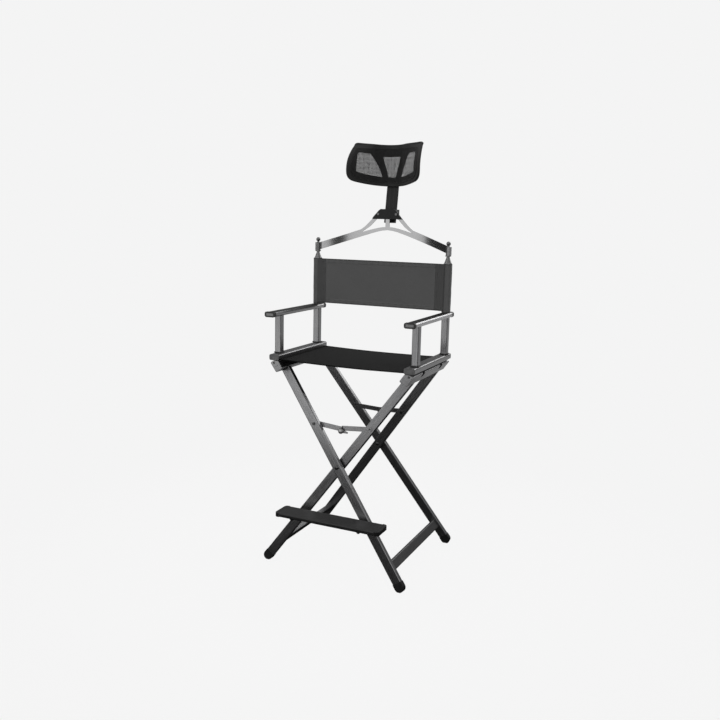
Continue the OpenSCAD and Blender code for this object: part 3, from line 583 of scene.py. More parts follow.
ownFinish = {
    "footrest_board": ribbedBoard("footrestTread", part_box("footrest_board")[1].z),
    "headrest_stem": mouldedPlastic("stemPlastic", plastic, stemGrooves),
    "headrest_base": mouldedPlastic("basePlastic", basePlastic),
    "front_brace_knob": knobSteel, "rear_brace_knob": knobSteel, "headrest_screws": greySteel,
    "left_finial": polishedSteel, "right_finial": polishedSteel,
    "outer_foot_caps": footCap, "inner_foot_caps": footCap, "footrest_rest_peg": footCap,
    "left_rail_caps": railCap, "right_rail_caps": railCap, **caps, **tube,
}
finishes = {
    "frame_paint": alongX, "black_plastic": blackPlastic, "bracket_aluminium": silver,
    "pin_steel": darkSteel, "seat_cloth": seatCloth, "back_cloth": backCloth, "head_mesh": headCloth,
}


def finishFor(node, slot):
    if node in ownFinish:
        return ownFinish[node]
    if slot == "frame_paint":
        reach = size(node)
        longest = max(range(3), key=lambda axis: reach[axis])
        return (alongX, alongY, alongZ)[longest]
    return finishes[slot]


for row in frame["record"]["subparts"]:
    piece = cad[row["node"]]
    piece.data.materials.clear()
    piece.data.materials.append(finishFor(row["node"], row["material_slot"]))
print("chair: CAD pieces finished")


# Mesh helpers

def newPiece(name, mesh, material, sharp=40):
    data = bpy.data.meshes.new(name)
    bmesh.ops.recalc_face_normals(mesh, faces=mesh.faces)
    mesh.to_mesh(data)
    mesh.free()
    data.polygons.foreach_set("use_smooth", [True] * len(data.polygons))
    data.set_sharp_from_angle(angle=math.radians(sharp))
    data.materials.append(material)
    piece = bpy.data.objects.new(name, data)
    bpy.context.scene.collection.objects.link(piece)
    return piece


def smooth(value, low, high):
    share = min(max((value - low) / (high - low), 0), 1)
    return share * share * (3 - 2 * share)


def shares(length, count, marks=()):
    # an even grid from 0 to 1, with more lines at these distances from both ends
    lines = {round(i / count, 5) for i in range(count + 1)}
    for mark in marks:
        lines |= {round(mark / length, 5), round(1 - mark / length, 5)}
    return sorted(lines)


def wave(x, y, pattern):
    # pattern gives the noise's scale each way and its own place in the noise
    return noise.noise(Vector((x * pattern[0], y * pattern[1], pattern[2])))


def edgeShade(edge, look):
    # how dark the cloth is at this distance from its cut edge
    return look["edgeDark"] * (1 - smooth(edge, look["edgeStart"], look["edge"]))


def softened(points, radii, steps=6):
    # Rounds the corners of a flat outline that have a radius
    outline = []
    for i, (point, radius) in enumerate(zip(points, radii)):
        corner = Vector(point)
        if radius:
            before = corner + (Vector(points[i - 1]) - corner).normalized() * radius
            after = corner + (Vector(points[(i + 1) % len(points)]) - corner).normalized() * radius
            for step in range(steps + 1):
                t = step / steps
                outline.append(before * (1 - t) ** 2 + corner * (2 * t * (1 - t)) + after * t * t)
        else:
            outline.append(corner)
    return outline


def bandBetween(mesh, first, second):
    # Joins two closed rings of points with a row of faces
    for i in range(len(first)):
        n = (i + 1) % len(first)
        mesh.faces.new([first[i], first[n], second[n], second[i]])


def clothSheet(name, us, vs, placeAt, thickness, material, cutAt):
    # A closed thin sheet: placeAt(u, v) is the middle of the cloth and cutAt(u, v, side) its flat cut
    mesh = bmesh.new()
    layer = mesh.verts.layers.float_vector.new("clothPlace")
    columns, rows = len(us) - 1, len(vs) - 1
    middles = [[placeAt(u, v) for u in us] for v in vs]
    faces = []
    for side in (1, -1):
        grid = []
        for j, v in enumerate(vs):
            line = []
            for i, u in enumerate(us):
                alongU = middles[j][min(i + 1, columns)] - middles[j][max(i - 1, 0)]
                alongV = middles[min(j + 1, rows)][i] - middles[max(j - 1, 0)][i]
                out = alongU.cross(alongV).normalized()
                vertex = mesh.verts.new(middles[j][i] + out * (side * thickness(u, v) / 2))
                vertex[layer] = cutAt(u, v, side)
                line.append(vertex)
            grid.append(line)
        faces.append(grid)
        for j in range(rows):
            for i in range(columns):
                ring = [grid[j][i], grid[j][i + 1], grid[j + 1][i + 1], grid[j + 1][i]]
                mesh.faces.new(ring if side > 0 else ring[::-1])
    upper, lower = faces
    rim = [(0, i) for i in range(columns)] + [(j, columns) for j in range(rows)]
    rim += [(rows, i) for i in range(columns, 0, -1)] + [(j, 0) for j in range(rows, 0, -1)]
    for (j, i), (jNext, iNext) in zip(rim, rim[1:] + rim[:1]):
        mesh.faces.new([upper[jNext][iNext], upper[j][i], lower[j][i], lower[jNext][iNext]])
    return newPiece(name, mesh, material, sharp=70)


sewing = {"stitch": 0.0034, "gap": 0.0016, "thread": 0.0005, "lift": 0.2}   # lift in threads' radii


def seam(name, points, material, out, look=sewing):
    # A row of stitches: short fat dashes lying on the cloth along the points
    mesh = bmesh.new()
    stitch, radius = look["stitch"], look["thread"]
    step = stitch + look["gap"]
    carried = 0.0
    for start, end in zip(points, points[1:]):
        run = end - start
        length = run.length
        way = run / length
        place = -carried % step if carried else 0.0
        while place + stitch <= length:
            turn = way.to_track_quat("Z", "Y").to_matrix().to_4x4()
            squeeze = Matrix.Diagonal((radius, radius, stitch / 2, 1))
            centre = start + way * (place + stitch / 2) + out * (radius * look["lift"])
            bmesh.ops.create_icosphere(mesh, subdivisions=1, radius=1,
                                       matrix=Matrix.Translation(centre) @ turn @ squeeze)
            place += step
        carried = (carried + length) % step
    return newPiece(name, mesh, material, sharp=180)


def weltAlong(name, points, radius, material, sides=8):
    # A thin closed welt that follows a closed row of points
    mesh = bmesh.new()
    steady = Vector((0, 1, 0.2))   # a direction that the welt never runs in
    rings = []
    for i, point in enumerate(points):
        way = (points[(i + 1) % len(points)] - points[i - 1]).normalized()
        across = way.cross(steady).normalized()
        other = way.cross(across)
        turns = [2 * math.pi * k / sides for k in range(sides)]
        rings.append([mesh.verts.new(point + radius * (across * math.cos(turn) + other * math.sin(turn)))
                      for turn in turns])
    for ring, following in zip(rings, rings[1:] + rings[:1]):
        bandBetween(mesh, ring, following)
    return newPiece(name, mesh, material, sharp=180)


# Seat canvas: pulled tight between the rails, with a sewn hem at its front and rear

# pullLines and broadWaves are noise patterns; railShade is where the shade beside a rail fades out
seat = {
    "columns": 88, "rows": 110, "sag": 0.003, "thickness": 0.0016, "hem": 0.024, "hemThickness": 0.0036,
    "step": 0.002, "ripple": 0.0008, "pullLines": (9, 55, 0.3), "broadWaves": (6, 7, 4.1), "broad": 0.7,
    "turn": 0.0014, "turnReach": 0.03, "lift": 0.0002, "endGap": 0.0004, "firstRow": 0.001,
    "edge": 0.0045, "edgeStart": 0.0018, "edgeDark": 0.85, "railShade": (0.016, 0.022), "railDark": 0.7,
    "seams": (0.0065, 0.02), "seamEnd": 0.012, "seamSteps": 40, "foldEdge": 0.024, "foldKeep": 0.156,
}


def makeSeat(look):
    low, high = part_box("seat_canvas")
    half, length = middle("right_seat_rod").x, high.y - low.y
    clothLow = low.z + look["hemThickness"] / 2 + look["lift"]

    def height(x, y):
        pull = 1 - (x / half) ** 2
        lines = wave(x, y, look["pullLines"]) * (1 - pull) ** 2
        broad = wave(x, y, look["broadWaves"]) * look["broad"]
        near = min(y - low.y, high.y - y)
        droop = look["turn"] * (1 - smooth(near, 0, look["turnReach"])) * pull
        return clothLow - look["sag"] * pull - droop + look["ripple"] * (lines + broad * pull)

    def placeAt(u, v):
        gap = look["endGap"]
        x, y = (u * 2 - 1) * half, low.y + gap + v * (length - 2 * gap)
        return Vector((x, y, height(x, y)))

    def thickness(u, v):
        edge = min(v, 1 - v) * length
        return look["thickness"] + (look["hemThickness"] - look["thickness"]) * smooth(
            look["hem"] - edge, 0, look["step"])

    def cutAt(u, v, side):
        dark = edgeShade(min(v, 1 - v) * length, look)
        # beside each rail the cloth is darkened: painted shade
        beside = look["railDark"] * (1 - smooth(half * (1 - abs(u * 2 - 1)), *look["railShade"]))
        return Vector((u * 2 * half, v * length, max(dark, beside)))

    def seamPoints(y):
        reach, steps = half - look["seamEnd"], look["seamSteps"]
        places = [i / steps * reach for i in range(-steps, steps + 1)]
        return [Vector((x, y, height(x, y) + look["hemThickness"] / 2)) for x in places]

    marks = (look["firstRow"], look["edgeStart"], look["edge"], look["hem"] - look["step"], look["hem"])
    cloth = clothSheet("seatCanvas", shares(2 * half, look["columns"], look["railShade"]),
                       shares(length, look["rows"], marks), placeAt, thickness, seatCloth, cutAt)
    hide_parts("seat_canvas")
    pieces = [cloth]
    for index, edge in enumerate(look["seams"]):
        for end, y in (("Front", low.y + edge), ("Rear", high.y - edge)):
            pieces.append(seam(f"seatStitch{end}{index}", seamPoints(y), seatThread, Vector((0, 0, 1))))
    for piece in pieces:
        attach(piece, "left_side")
        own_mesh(piece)
    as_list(pieces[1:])


# Back canvas: a panel between two sleeves round the rear posts

# band is the doubled cloth beside each sleeve, and lap where it passes in front of the sleeve
back = {
    "columns": 100, "rows": 60, "thickness": 0.0014, "band": 0.0355, "bandThickness": 0.003, "hem": 0.016,
    "step": 0.0015, "endGap": 0.0003, "ripple": 0.0014, "dip": (5, 9, 2.2), "fan": (8, 9, 55, 24, 7.7),
    "fanShare": 0.6, "bow": 0.003, "lap": 0.0085, "lapFrom": 0.014, "lapTo": 0.001, "lapGap": 0.0004,
    "edge": 0.004, "edgeStart": 0.002, "edgeDark": 0.75, "bandDark": 0.4,
    "bandSeams": (0.003, 0.01), "bandSeamEnd": 0.003, "bandSeamSteps": 30,
    "hemSeams": (0.0055, 0.013), "hemSeamEnd": 0.003, "hemSeamSteps": 40, "foldKeep": 0.185,
}


def makeBack(look):
    low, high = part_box("back_canvas")
    sleeveLow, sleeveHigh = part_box("left_back_sleeve")
    frontY, inner = sleeveLow.y, abs(sleeveHigh.x)
    half = inner + look["lap"]
    height = high.z - low.z
    thick, doubleThick = look["thickness"], look["bandThickness"]
    fanX, fanRise, fanZ, fanSpread, fanSeed = look["fan"]

    def bow(x, z):
        pull = 1 - (x / half) ** 2
        dip = wave(x, z, look["dip"]) * pull
        fan = noise.noise(Vector((x * fanX + z * fanRise, z * fanZ - abs(x) * fanSpread, fanSeed)))
        lap = smooth(abs(x), inner - look["lapFrom"], inner - look["lapTo"]) * (doubleThick + look["lapGap"])
        ripple = look["ripple"] * (dip + look["fanShare"] * fan * (1 - pull) ** 2)
        return ripple * (1 - lap / doubleThick) + look["bow"] * pull - lap

    def placeAt(u, v):
        gap = look["endGap"]
        x, z = (u * 2 - 1) * half, low.z + gap + v * (height - 2 * gap)
        return Vector((x, frontY + doubleThick / 2 + bow(x, z), z))

    def doubled(u, v):
        inside = half * (1 - abs(u * 2 - 1))
        return (1 - smooth(inside, look["band"] - look["step"], look["band"]),
                1 - smooth(min(v, 1 - v) * height, look["hem"] - look["step"], look["hem"]))

    def thickness(u, v):
        return thick + (doubleThick - thick) * max(doubled(u, v))

    def cutAt(u, v, side):
        dark = edgeShade(min(v, 1 - v) * height, look)
        return Vector((u * 2 * half, v * height, max(dark, look["bandDark"] * doubled(u, v)[0])))

    marks = (look["edgeStart"], look["edge"], look["hem"] - look["step"], look["hem"])
    panel = clothSheet(
        "backPanel", shares(2 * half, look["columns"], (look["band"] - look["step"], look["band"])),
        shares(height, look["rows"], marks), placeAt, thickness, backCloth, cutAt)
    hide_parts("back_canvas")
    pieces = [panel]
    front = Vector((0, -1, 0))
    end, steps = look["bandSeamEnd"], look["bandSeamSteps"]
    rows = [low.z + end + (height - 2 * end) * i / steps for i in range(steps + 1)]
    for index, inside in enumerate(look["bandSeams"]):
        for side, name in ((-1, "Left"), (1, "Right")):
            x = side * (half - look["band"] + inside)
            points = [Vector((x, frontY + bow(x, z), z)) for z in rows]
            pieces.append(seam(f"backSeam{name}{index}", points, backThread, front))
    reach, steps = half - look["hemSeamEnd"], look["hemSeamSteps"]
    columns = [i / steps * reach for i in range(-steps, steps + 1)]
    for index, edge in enumerate(look["hemSeams"]):
        for z, name in ((low.z + edge, "Low"), (high.z - edge, "High")):
            points = [Vector((x, frontY + bow(x, z), z)) for x in columns]
            pieces.append(seam(f"backHem{name}{index}", points, backThread, front))
    for piece in pieces:
        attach(piece, "left_side")
        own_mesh(piece)
    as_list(pieces[1:])


# tighter is how far the sleeve lies inside its own space before it creases
sleeveLook = {
    "thickness": 0.00168, "corner": 0.0085, "cornerSteps": 8, "hang": 0.005, "topGap": 0.0003, "rows": 40,
    "edge": 0.004, "edgeStart": 0.002, "edgeDark": 0.75, "tighter": 0.0005, "crease": 0.0006,
    "creaseScale": (60, 60, 45), "seed": {"left": 3, "right": 9},
}


def makeSleeve(look, side, body):
    node = f"{side}_back_sleeve"
    low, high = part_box(node)
    centre = (low + high) / 2
    thick, corner = look["thickness"], look["corner"]
    halfX, halfY = (high.x - low.x - thick) / 2, (high.y - low.y - thick) / 2
    foot, top = low.z - look["hang"], high.z - look["topGap"]
    loop = []
    for quarter, (signX, signY) in enumerate(((1, 1), (-1, 1), (-1, -1), (1, -1))):
        for step in range(look["cornerSteps"] + 1):
            angle = math.radians(90 * (quarter + step / look["cornerSteps"]))
            loop.append((signX * (halfX - corner) + corner * math.cos(angle),
                         signY * (halfY - corner) + corner * math.sin(angle)))
    lengths = [0.0]
    for first, second in zip(loop, loop[1:] + loop[:1]):
        lengths.append(lengths[-1] + math.dist(first, second))
    levels = shares(top - foot, look["rows"], (look["edgeStart"], look["edge"]))
    scaleX, scaleY, scaleZ = look["creaseScale"]
    mesh = bmesh.new()
    layer = mesh.verts.layers.float_vector.new("clothPlace")
    outside, inside = [], []
    for v in levels:
        z = foot + v * (top - foot)
        dark = edgeShade(min(v, 1 - v) * (top - foot), look)
        for shell, rings in ((1, outside), (-1, inside)):
            ring = []
            for i, (x, y) in enumerate(loop):
                crease = noise.noise(Vector((x * scaleX, y * scaleY, z * scaleZ + look["seed"][side])))
                out = shell * thick / 2 - look["tighter"] + look["crease"] * crease
                grow = 1 + out / max(halfX, halfY)
                vertex = mesh.verts.new((centre.x + x * grow, centre.y + y * grow, z))
                vertex[layer] = (lengths[i], z, dark)
                ring.append(vertex)
            rings.append(ring)
    for rings in (outside, inside):
        for lower, upper in zip(rings, rings[1:]):
            bandBetween(mesh, lower, upper)
    for end in (0, -1):
        bandBetween(mesh, outside[end], inside[end])
    sleeve = newPiece(f"{side}Sleeve", mesh, backCloth, sharp=70)
    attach(sleeve, body)
    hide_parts(node)


makeSeat(seat)
makeBack(back)
for side in ("left", "right"):
    makeSleeve(sleeveLook, side, f"{side}_side")
print("chair: canvas made")


# Hinge rails: a plate closes each end of their grooves

# across and below place the plate's middle from the hinge pin, in the leaning leg's own directions
railEnd = {
    "width": 0.0244, "height": 0.016, "round": 0.002, "thickness": 0.0014, "inset": 0.0001,
    "across": 0.003, "below": 0.0232, "lean": 35.8,
}


def makeRailEnds(look, side, sign, body):
    pin = middle(f"{side}_hinge_pin")
    low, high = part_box(f"{side}_hinge_rail")
    lean = math.radians(look["lean"])
    alongLeg = Vector((sign * math.sin(lean), 0, math.cos(lean)))
    acrossLeg = Vector((sign * math.cos(lean), 0, -math.sin(lean)))
    centre = pin - acrossLeg * look["across"] - alongLeg * look["below"]
    width, height = look["width"] / 2, look["height"] / 2
    corners = [(-width, -height), (width, -height), (width, height), (-width, height)]
    outline = softened(corners, [look["round"]] * 4)
    mesh = bmesh.new()
    inset, thick = look["inset"], look["thickness"]
    for ends in ((low.y + inset, low.y + inset + thick), (high.y - inset, high.y - inset - thick)):
        rings = []
        for y in ends:
            ring = [centre + acrossLeg * point.x + alongLeg * point.y for point in outline]
            rings.append([mesh.verts.new((point.x, y, point.z)) for point in ring])
        mesh.faces.new(rings[0])
        mesh.faces.new(rings[1][::-1])
        bandBetween(mesh, *rings)
    plates = newPiece(f"{side}_rail_ends", mesh, alongY)
    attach(plates, body)


makeRailEnds(railEnd, "left", -1, "outer_frame")
makeRailEnds(railEnd, "right", 1, "inner_frame")
print("chair: hinge rails closed")


# Head pad: a foam frame bent round the head, with open net across its three windows.
# It is drawn flat, s along its front face and z up from its lower edge, and then bent.

# bend is the middle's radius and wing its half angle in degrees; beyond it the sides run straight.
# belly is the lower edge's radius, and above sideFrom the sides lean in and flare backwards.
head = {
    "bend": 0.080, "wing": 42.0, "halfLength": 0.175, "belly": 0.71, "thickness": 0.009, "edge": 0.0026,
    "lowCorner": 0.034, "lowRound": 0.9, "topCorner": 0.014, "topRise": 0.008, "sideFrom": 0.06,
    "lean": 0.042, "flare": 0.032, "flareFrom": 0.06,
}
padLow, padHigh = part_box("headrest_frame")
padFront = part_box("headrest_mesh")[1].y
padHeight = padHigh.z - padLow.z


def upperShare(z, look):
    return min(max((z - look["sideFrom"]) / (padHeight - look["sideFrom"]), 0), 1)


def sideAt(z, look):
    # half the pad's length at a height: its sides lean inwards above sideFrom
    return look["halfLength"] - look["lean"] * upperShare(z, look) ** 2


def padPoint(s, z, depth, look=head):
    bend, wing = look["bend"], math.radians(look["wing"])
    arc = bend * wing
    turn = max(min(s / bend, wing), -wing)
    rest = s - math.copysign(min(abs(s), arc), s)
    flare = look["flare"] * upperShare(z, look) ** 2
    radius = bend + depth + flare * smooth(abs(s), look["flareFrom"], sideAt(z, look))
    x = math.sin(turn) * radius + math.cos(turn) * rest
    y = padFront - bend + math.cos(turn) * radius - math.sin(turn) * rest
    return Vector((x, y, padLow.z + z))


def padOutline(look, bellySteps=14, sideSteps=8):
    half, low, top = look["halfLength"], look["lowCorner"] * look["lowRound"], look["topCorner"]
    flatHalf = half - look["lowCorner"]

    def belly(s):
        return s * s / (2 * look["belly"])

    points = [(s, belly(s)) for s in (flatHalf * i / bellySteps for i in range(-bellySteps, bellySteps + 1))]
    radii = [0] * len(points) + [low] + [0] * sideSteps + [top]
    corner = padHeight + look["topRise"]
    rise = [look["sideFrom"] + (corner - look["sideFrom"]) * i / sideSteps for i in range(sideSteps + 1)]
    sides = [(sideAt(z, look), z) for z in rise]
    end = sides[-1][0]
    upper = [(end * i / sideSteps, padHeight + look["topRise"] * (i / sideSteps) ** 2)
             for i in range(sideSteps - 1, -sideSteps, -1)]
    points += [(half, belly(half))] + sides + upper + [(-s, z) for s, z in reversed(sides)]
    points += [(-half, belly(half))]
    radii += [0] * len(upper) + [top] + [0] * sideSteps + [low]
    return softened(points, radii)


# near and out are the side windows' two ends, s from the middle; open and curve shape the ribs
windows = {
    "rim": 0.033, "lowCurve": 0.95, "near": 0.0365, "out": 0.1375, "outCurve": 0.01, "top": 0.12,
    "topOut": 0.001, "topNear": 0.003, "open": 0.02, "curve": 0.025, "soft": 0.005, "nearSoft": 0.002,
    "farSoft": 0.008, "middleLow": 0.0135, "middleHigh": 0.035, "middleTop": 0.107, "middleSoft": 0.003,
    "middleTopSoft": 0.004, "lowSteps": 5, "outSteps": 4, "ribSteps": 5,
}


def padWindows(look):
    near, out, top = look["near"], look["out"], look["top"]
    lowSteps, outSteps, ribSteps = look["lowSteps"], look["outSteps"], look["ribSteps"]

    def lowEdge(s):
        return look["rim"] + s * s * look["lowCurve"]

    lows = [near + (out - near) * i / lowSteps for i in range(lowSteps + 1)]
    side = [(s, lowEdge(s)) for s in lows]
    side += [(out - look["outCurve"] * t * t, lowEdge(out) + (top + look["topOut"] - lowEdge(out)) * t)
             for t in (i / outSteps for i in range(1, outSteps + 1))]
    side += [(near + look["open"] * t + look["curve"] * t * t,
              lowEdge(near) + (top - look["topNear"] - lowEdge(near)) * t)
             for t in (i / ribSteps for i in range(ribSteps, 0, -1))]
    radii = [look["nearSoft"]] + [0] * (lowSteps - 1) + [look["soft"]] + [0] * (outSteps - 1)
    radii += [look["farSoft"], look["soft"]] + [0] * (ribSteps - 1)
    right = softened(side, radii)
    left = [Vector((-point.x, point.y)) for point in reversed(right)]
    lowHalf, highHalf, middleTop = look["middleLow"], look["middleHigh"], look["middleTop"]
    corners = [(-lowHalf, lowEdge(0)), (lowHalf, lowEdge(0)), (highHalf, middleTop), (-highHalf, middleTop)]
    return [left, softened(corners, [look["middleSoft"]] * 2 + [look["middleTopSoft"]] * 2), right]


def flatPlate(outlines, thickness, edge, edgeSteps=3, weld=0.00002):
    # A flat plate with holes and rounded edges, from the outlines, as a bmesh
    drawing = bpy.data.curves.new("padDrawing", "CURVE")
    drawing.dimensions = "2D"
    drawing.fill_mode = "BOTH"
    drawing.extrude = thickness / 2 - edge
    drawing.bevel_depth = edge
    drawing.bevel_resolution = edgeSteps
    drawing.offset = -edge
    for outline in outlines:
        spline = drawing.splines.new("POLY")
        spline.points.add(len(outline) - 1)
        spline.use_cyclic_u = True
        for point, place in zip(spline.points, outline):
            point.co = (place.x, place.y, 0, 1)
    holder = bpy.data.objects.new("padDrawing", drawing)
    bpy.context.scene.collection.objects.link(holder)
    bpy.context.view_layer.update()
    data = bpy.data.meshes.new_from_object(holder.evaluated_get(bpy.context.evaluated_depsgraph_get()))
    mesh = bmesh.new()
    mesh.from_mesh(data)
    bpy.data.objects.remove(holder)
    bpy.data.curves.remove(drawing)
    bpy.data.meshes.remove(data)
    bmesh.ops.remove_doubles(mesh, verts=mesh.verts, dist=weld)
    return mesh


def cutGrid(mesh, axis, places, snap=0.00001):
    # Cuts the mesh across one axis at these places, so that it can bend there
    for place in places:
        point = Vector((0, 0, 0))
        point[axis] = place
        normal = Vector((0, 0, 0))
        normal[axis] = 1
        geometry = mesh.verts[:] + mesh.edges[:] + mesh.faces[:]
        bmesh.ops.bisect_plane(mesh, geom=geometry, dist=snap, plane_co=point, plane_no=normal)


padCuts = {"bend": 15, "wing": 12, "height": 18}   # how many strips each stretch is cut into


def makePad(look, cuts):
    mesh = flatPlate([padOutline(look)] + padWindows(windows), look["thickness"], look["edge"])
    bendEnd = look["bend"] * math.radians(look["wing"])
    cutGrid(mesh, 0, [bendEnd * i / cuts["bend"] for i in range(-cuts["bend"], cuts["bend"] + 1)])
    cutGrid(mesh, 0, [side * (bendEnd + (look["halfLength"] - bendEnd) * i / cuts["wing"])
                      for i in range(1, cuts["wing"]) for side in (-1, 1)])
    cutGrid(mesh, 1, [padHeight * i / cuts["height"] for i in range(1, cuts["height"])])
    for vertex in mesh.verts:
        s, z, depth = vertex.co
        vertex.co = padPoint(s, z, depth + look["thickness"] / 2)
    return newPiece("padFrame", mesh, headFoam, sharp=50)


ear = {"width": 0.006, "round": 0.008, "gap": 0.0002, "bevel": 0.0008, "step": 15, "sharpFrom": 0.8}


def makeEars(look):
    # Two ears behind the pad, one on each side of the stem, round where the pin passes through
    pin = middle("headrest_tilt_pin")
    mesh = bmesh.new()
    radius = look["round"]
    deep = pin.y - padFront - head["thickness"] / 2
    profile = [(-deep, -radius), (0, -radius)]
    profile += [(radius * math.sin(math.radians(a)), -radius * math.cos(math.radians(a)))
                for a in range(look["step"], 180, look["step"])]
    profile += [(0, radius), (-deep, radius)]
    for side in (-1, 1):
        near = side * (size("headrest_stem").x / 2 + look["gap"])
        rings = []
        for x in (near, near + side * look["width"]):
            rings.append([mesh.verts.new((x, pin.y + y, pin.z + z)) for y, z in profile])
        for ring in rings:
            mesh.faces.new(ring)
        bandBetween(mesh, *rings)
    sharp = [edge for edge in mesh.edges if edge.calc_face_angle(0) > look["sharpFrom"]]
    bmesh.ops.bevel(mesh, geom=sharp, offset=look["bevel"], segments=2, affect="EDGES")
    return newPiece("padEars", mesh, blackPlastic)


# inset is how far the net's edge lies inside the pad's, and endMarks add grid lines near its ends
netLook = {
    "thickness": 0.0012, "gap": 0.0002, "inset": 0.014, "welt": 0.0011, "lowRound": 0.75, "columns": 90,
    "rows": 30, "endSteps": 12, "endMarks": (0.0005, 0.0015, 0.003, 0.005),
}


def makeNet(pad, look):
    inset = look["inset"]
    half = pad["halfLength"] - inset
    lowCorner = pad["lowCorner"] - inset / 2
    depth = -look["thickness"] / 2 - look["gap"]

    def span(s):
        # the net's lowest and highest point at s
        low = s * s / (2 * pad["belly"]) + inset
        high = padHeight - inset
        fromEnd = half - abs(s)
        if fromEnd < pad["lean"]:
            leaned = pad["sideFrom"] + (padHeight - pad["sideFrom"]) * math.sqrt(fromEnd / pad["lean"])
            high = min(high, leaned)
        if fromEnd < lowCorner:
            low += lowCorner * look["lowRound"] * (1 - math.sqrt(1 - (1 - fromEnd / lowCorner) ** 2))
        return low, high

    def flatAt(u, v):
        s = (u * 2 - 1) * half
        low, high = span(s)
        return s, low + v * (high - low)

    def placeAt(u, v):
        return padPoint(*flatAt(u, v), depth)

    def cutAt(u, v, side):
        return Vector((*flatAt(u, v), 0 if side > 0 else 1))

    us = shares(2 * half, look["columns"], look["endMarks"])
    net = clothSheet("headNet", us, shares(padHeight, look["rows"]), placeAt,
                     lambda u, v: look["thickness"], headCloth, cutAt)
    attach(net, "head_pad")
    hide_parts("headrest_mesh")
    between = [i / look["endSteps"] for i in range(1, look["endSteps"])]
    border = [placeAt(u, 0) for u in us] + [placeAt(1, v) for v in between]
    border += [placeAt(u, 1) for u in reversed(us)] + [placeAt(0, 1 - v) for v in between]
    welt = weltAlong("headWelt", border, look["welt"], headFoam)
    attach(welt, "head_pad")
    heights = [high - low for low, high in (span((u * 2 - 1) * half) for u in us)]
    area = sum((first + second) / 2 * 2 * half * (after - before)
               for before, after, first, second in zip(us, us[1:], heights, heights[1:]))


for piece in (makePad(head, padCuts), makeEars(ear)):
    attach(piece, "head_pad")
    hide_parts("headrest_frame")
makeNet(head, netLook)
print("chair: head pad made")


# Light and floor: soft boxes all round, and a pale floor

# lift, background and the floor's own glow are radiances; the fades are distances from the origin
studio = {
    "background": 0.905, "frontSky": ((0.0, 0.03), (0.12, 0.06), (0.5, 0.45), (1.0, 0.7)),
    "rearSky": ((0.0, 0.1), (0.3, 0.14), (0.5, 0.45), (1.0, 0.7)), "skyTurn": (-0.3, 0.6),
    "floorSize": 14, "floorDrop": 0.0004, "pale": (0.86, 0.88), "fade": (0.7, 1.5), "shadow": 0.025,
    "lift": 0.02, "floorNear": 0.015, "floorFar": 0.42, "floorFront": 0.02, "floorRing": (1.0, 1.7),
    "floorTurn": (-0.3, 0.7), "grainScale": 140, "grainRange": (0.2, 0.8), "floorRoughness": 0.8,
}
# azimuth in degrees from straight in front, to the right; reach in metres; radiance
softBoxes = {
    "keyBox": {"azimuth": -25.7, "reach": 2.0, "width": 1.4, "low": 0.6, "high": 2.5, "light": 0.75},
    "lowBox": {"azimuth": -25.7, "reach": 2.0, "width": 1.4, "low": 0.25, "high": 0.6, "light": 1.15},
    "nearBox": {"azimuth": 14.5, "reach": 2.0, "width": 1.0, "low": 0.8, "high": 1.5, "light": 0.7},
    "rightBox": {"azimuth": 50, "reach": 2.2, "width": 1.5, "low": 0.4, "high": 1.4, "light": 0.45},
    "backBox": {"azimuth": 155, "reach": 2.4, "width": 1.5, "low": 1.4, "high": 3.6, "light": 2.0},
    "leftBox": {"azimuth": -105, "reach": 2.6, "width": 1.2, "low": 0.9, "high": 2.4, "light": 0.5},
}


def softBox(name, look):
    turn = math.radians(look["azimuth"])
    height = look["high"] - look["low"]
    data = bpy.data.lights.new(name, "AREA")
    data.shape = "RECTANGLE"
    data.size, data.size_y = look["width"], height
    data.energy = look["light"] * math.pi * look["width"] * height
    lamp = bpy.data.objects.new(name, data)
    middleZ = (look["low"] + look["high"]) / 2
    lamp.location = (math.sin(turn) * look["reach"], -math.cos(turn) * look["reach"], middleZ)
    lamp.rotation_euler = (math.radians(90), 0, turn)
    lamp.visible_camera = False
    bpy.context.scene.collection.objects.link(lamp)


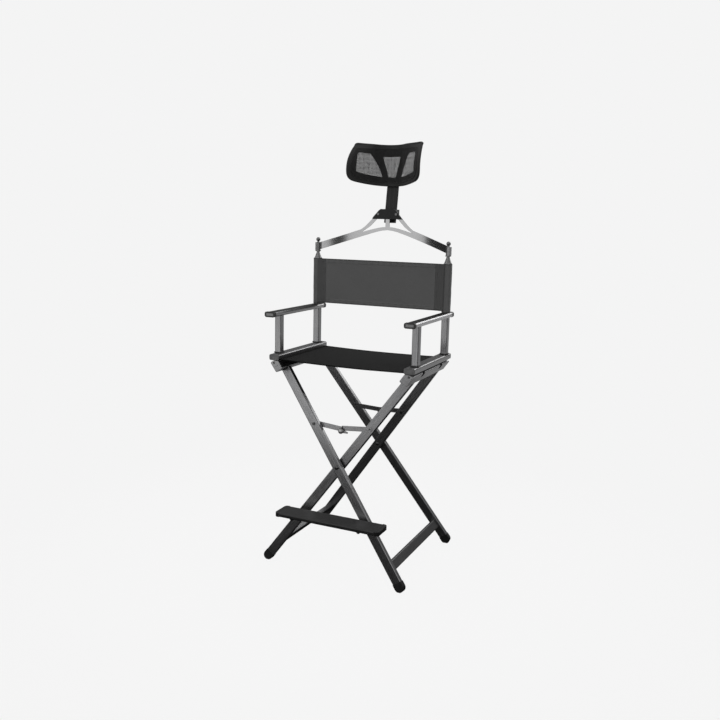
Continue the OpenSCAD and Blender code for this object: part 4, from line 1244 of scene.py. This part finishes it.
def makeWorld(look):
    world = bpy.data.worlds.new("studioWorld")
    bpy.context.scene.world = world
    world.use_nodes = True
    tree = world.node_tree
    tree.nodes.clear()
    start = Signal(tree, None)
    direction = start.make("ShaderNodeTexCoord", {}, {}, out=0)
    rise = direction.part("Z")
    behind = direction.part("Y").spread(*look["skyTurn"])
    soft = behind.tint(rise.ramp(look["frontSky"]), rise.ramp(look["rearSky"]))
    seen = start.make("ShaderNodeLightPath", {}, {}, out=0)
    shown = seen.tint(soft, colour(look["background"]))
    light = start.make("ShaderNodeBackground", {}, {"Color": shown, "Strength": 1.0})
    output = tree.nodes.new("ShaderNodeOutputWorld")
    tree.links.new(light.socket, output.inputs["Surface"])


def makeFloor(look):
    half, low = look["floorSize"], -look["floorDrop"]
    data = bpy.data.meshes.new("studioFloor")
    corners = [(x * half, y * half, low) for x, y in ((-1, -1), (1, -1), (1, 1), (-1, 1))]
    data.from_pydata(corners, [], [(0, 1, 2, 3)])

    def dressing(place):
        def mix(share, first, second):
            return place.make("ShaderNodeMixShader", {}, {0: share, 1: first, 2: second})

        away = place.make("ShaderNodeVectorMath", {"operation": "LENGTH"}, {0: place}, out=1)
        grain = place.noise(look["grainScale"], detail=2).spread(*look["grainRange"])
        pale = principled(place, {
            "Base Color": grain.tint(*(colour(grey) for grey in look["pale"])),
            "Roughness": look["floorRoughness"]})
        # The camera sees a faint shadow on a clear floor, so the legs of the folded chair,
        # which reach below the standing chair's floor, stay in sight.
        clear = place.make("ShaderNodeBsdfTransparent", {}, {})
        glow = place.make("ShaderNodeEmission", {}, {"Color": colour(look["lift"])})
        lifted = place.make("ShaderNodeAddShader", {}, {0: clear, 1: glow})
        near = mix(1 - look["shadow"], pale, lifted)
        faded = mix(away.spread(*look["fade"]), near, clear)
        behind = place.part("Y").spread(*look["floorTurn"])
        beyond = behind.tint(colour(look["floorFront"]), colour(look["floorFar"]))
        dim = away.spread(*look["floorRing"]).tint(colour(look["floorNear"]), beyond)
        bounce = place.make("ShaderNodeEmission", {}, {"Color": dim})
        seen = place.make("ShaderNodeLightPath", {}, {}, out=0)
        return mix(seen, bounce, faded)

    data.materials.append(newMaterial("studioFloor", dressing))
    floor = bpy.data.objects.new("studioFloor", data)
    bpy.context.scene.collection.objects.link(floor)


makeWorld(studio)
makeFloor(studio)
for name, look in softBoxes.items():
    softBox(name, look)
print("chair: studio set")
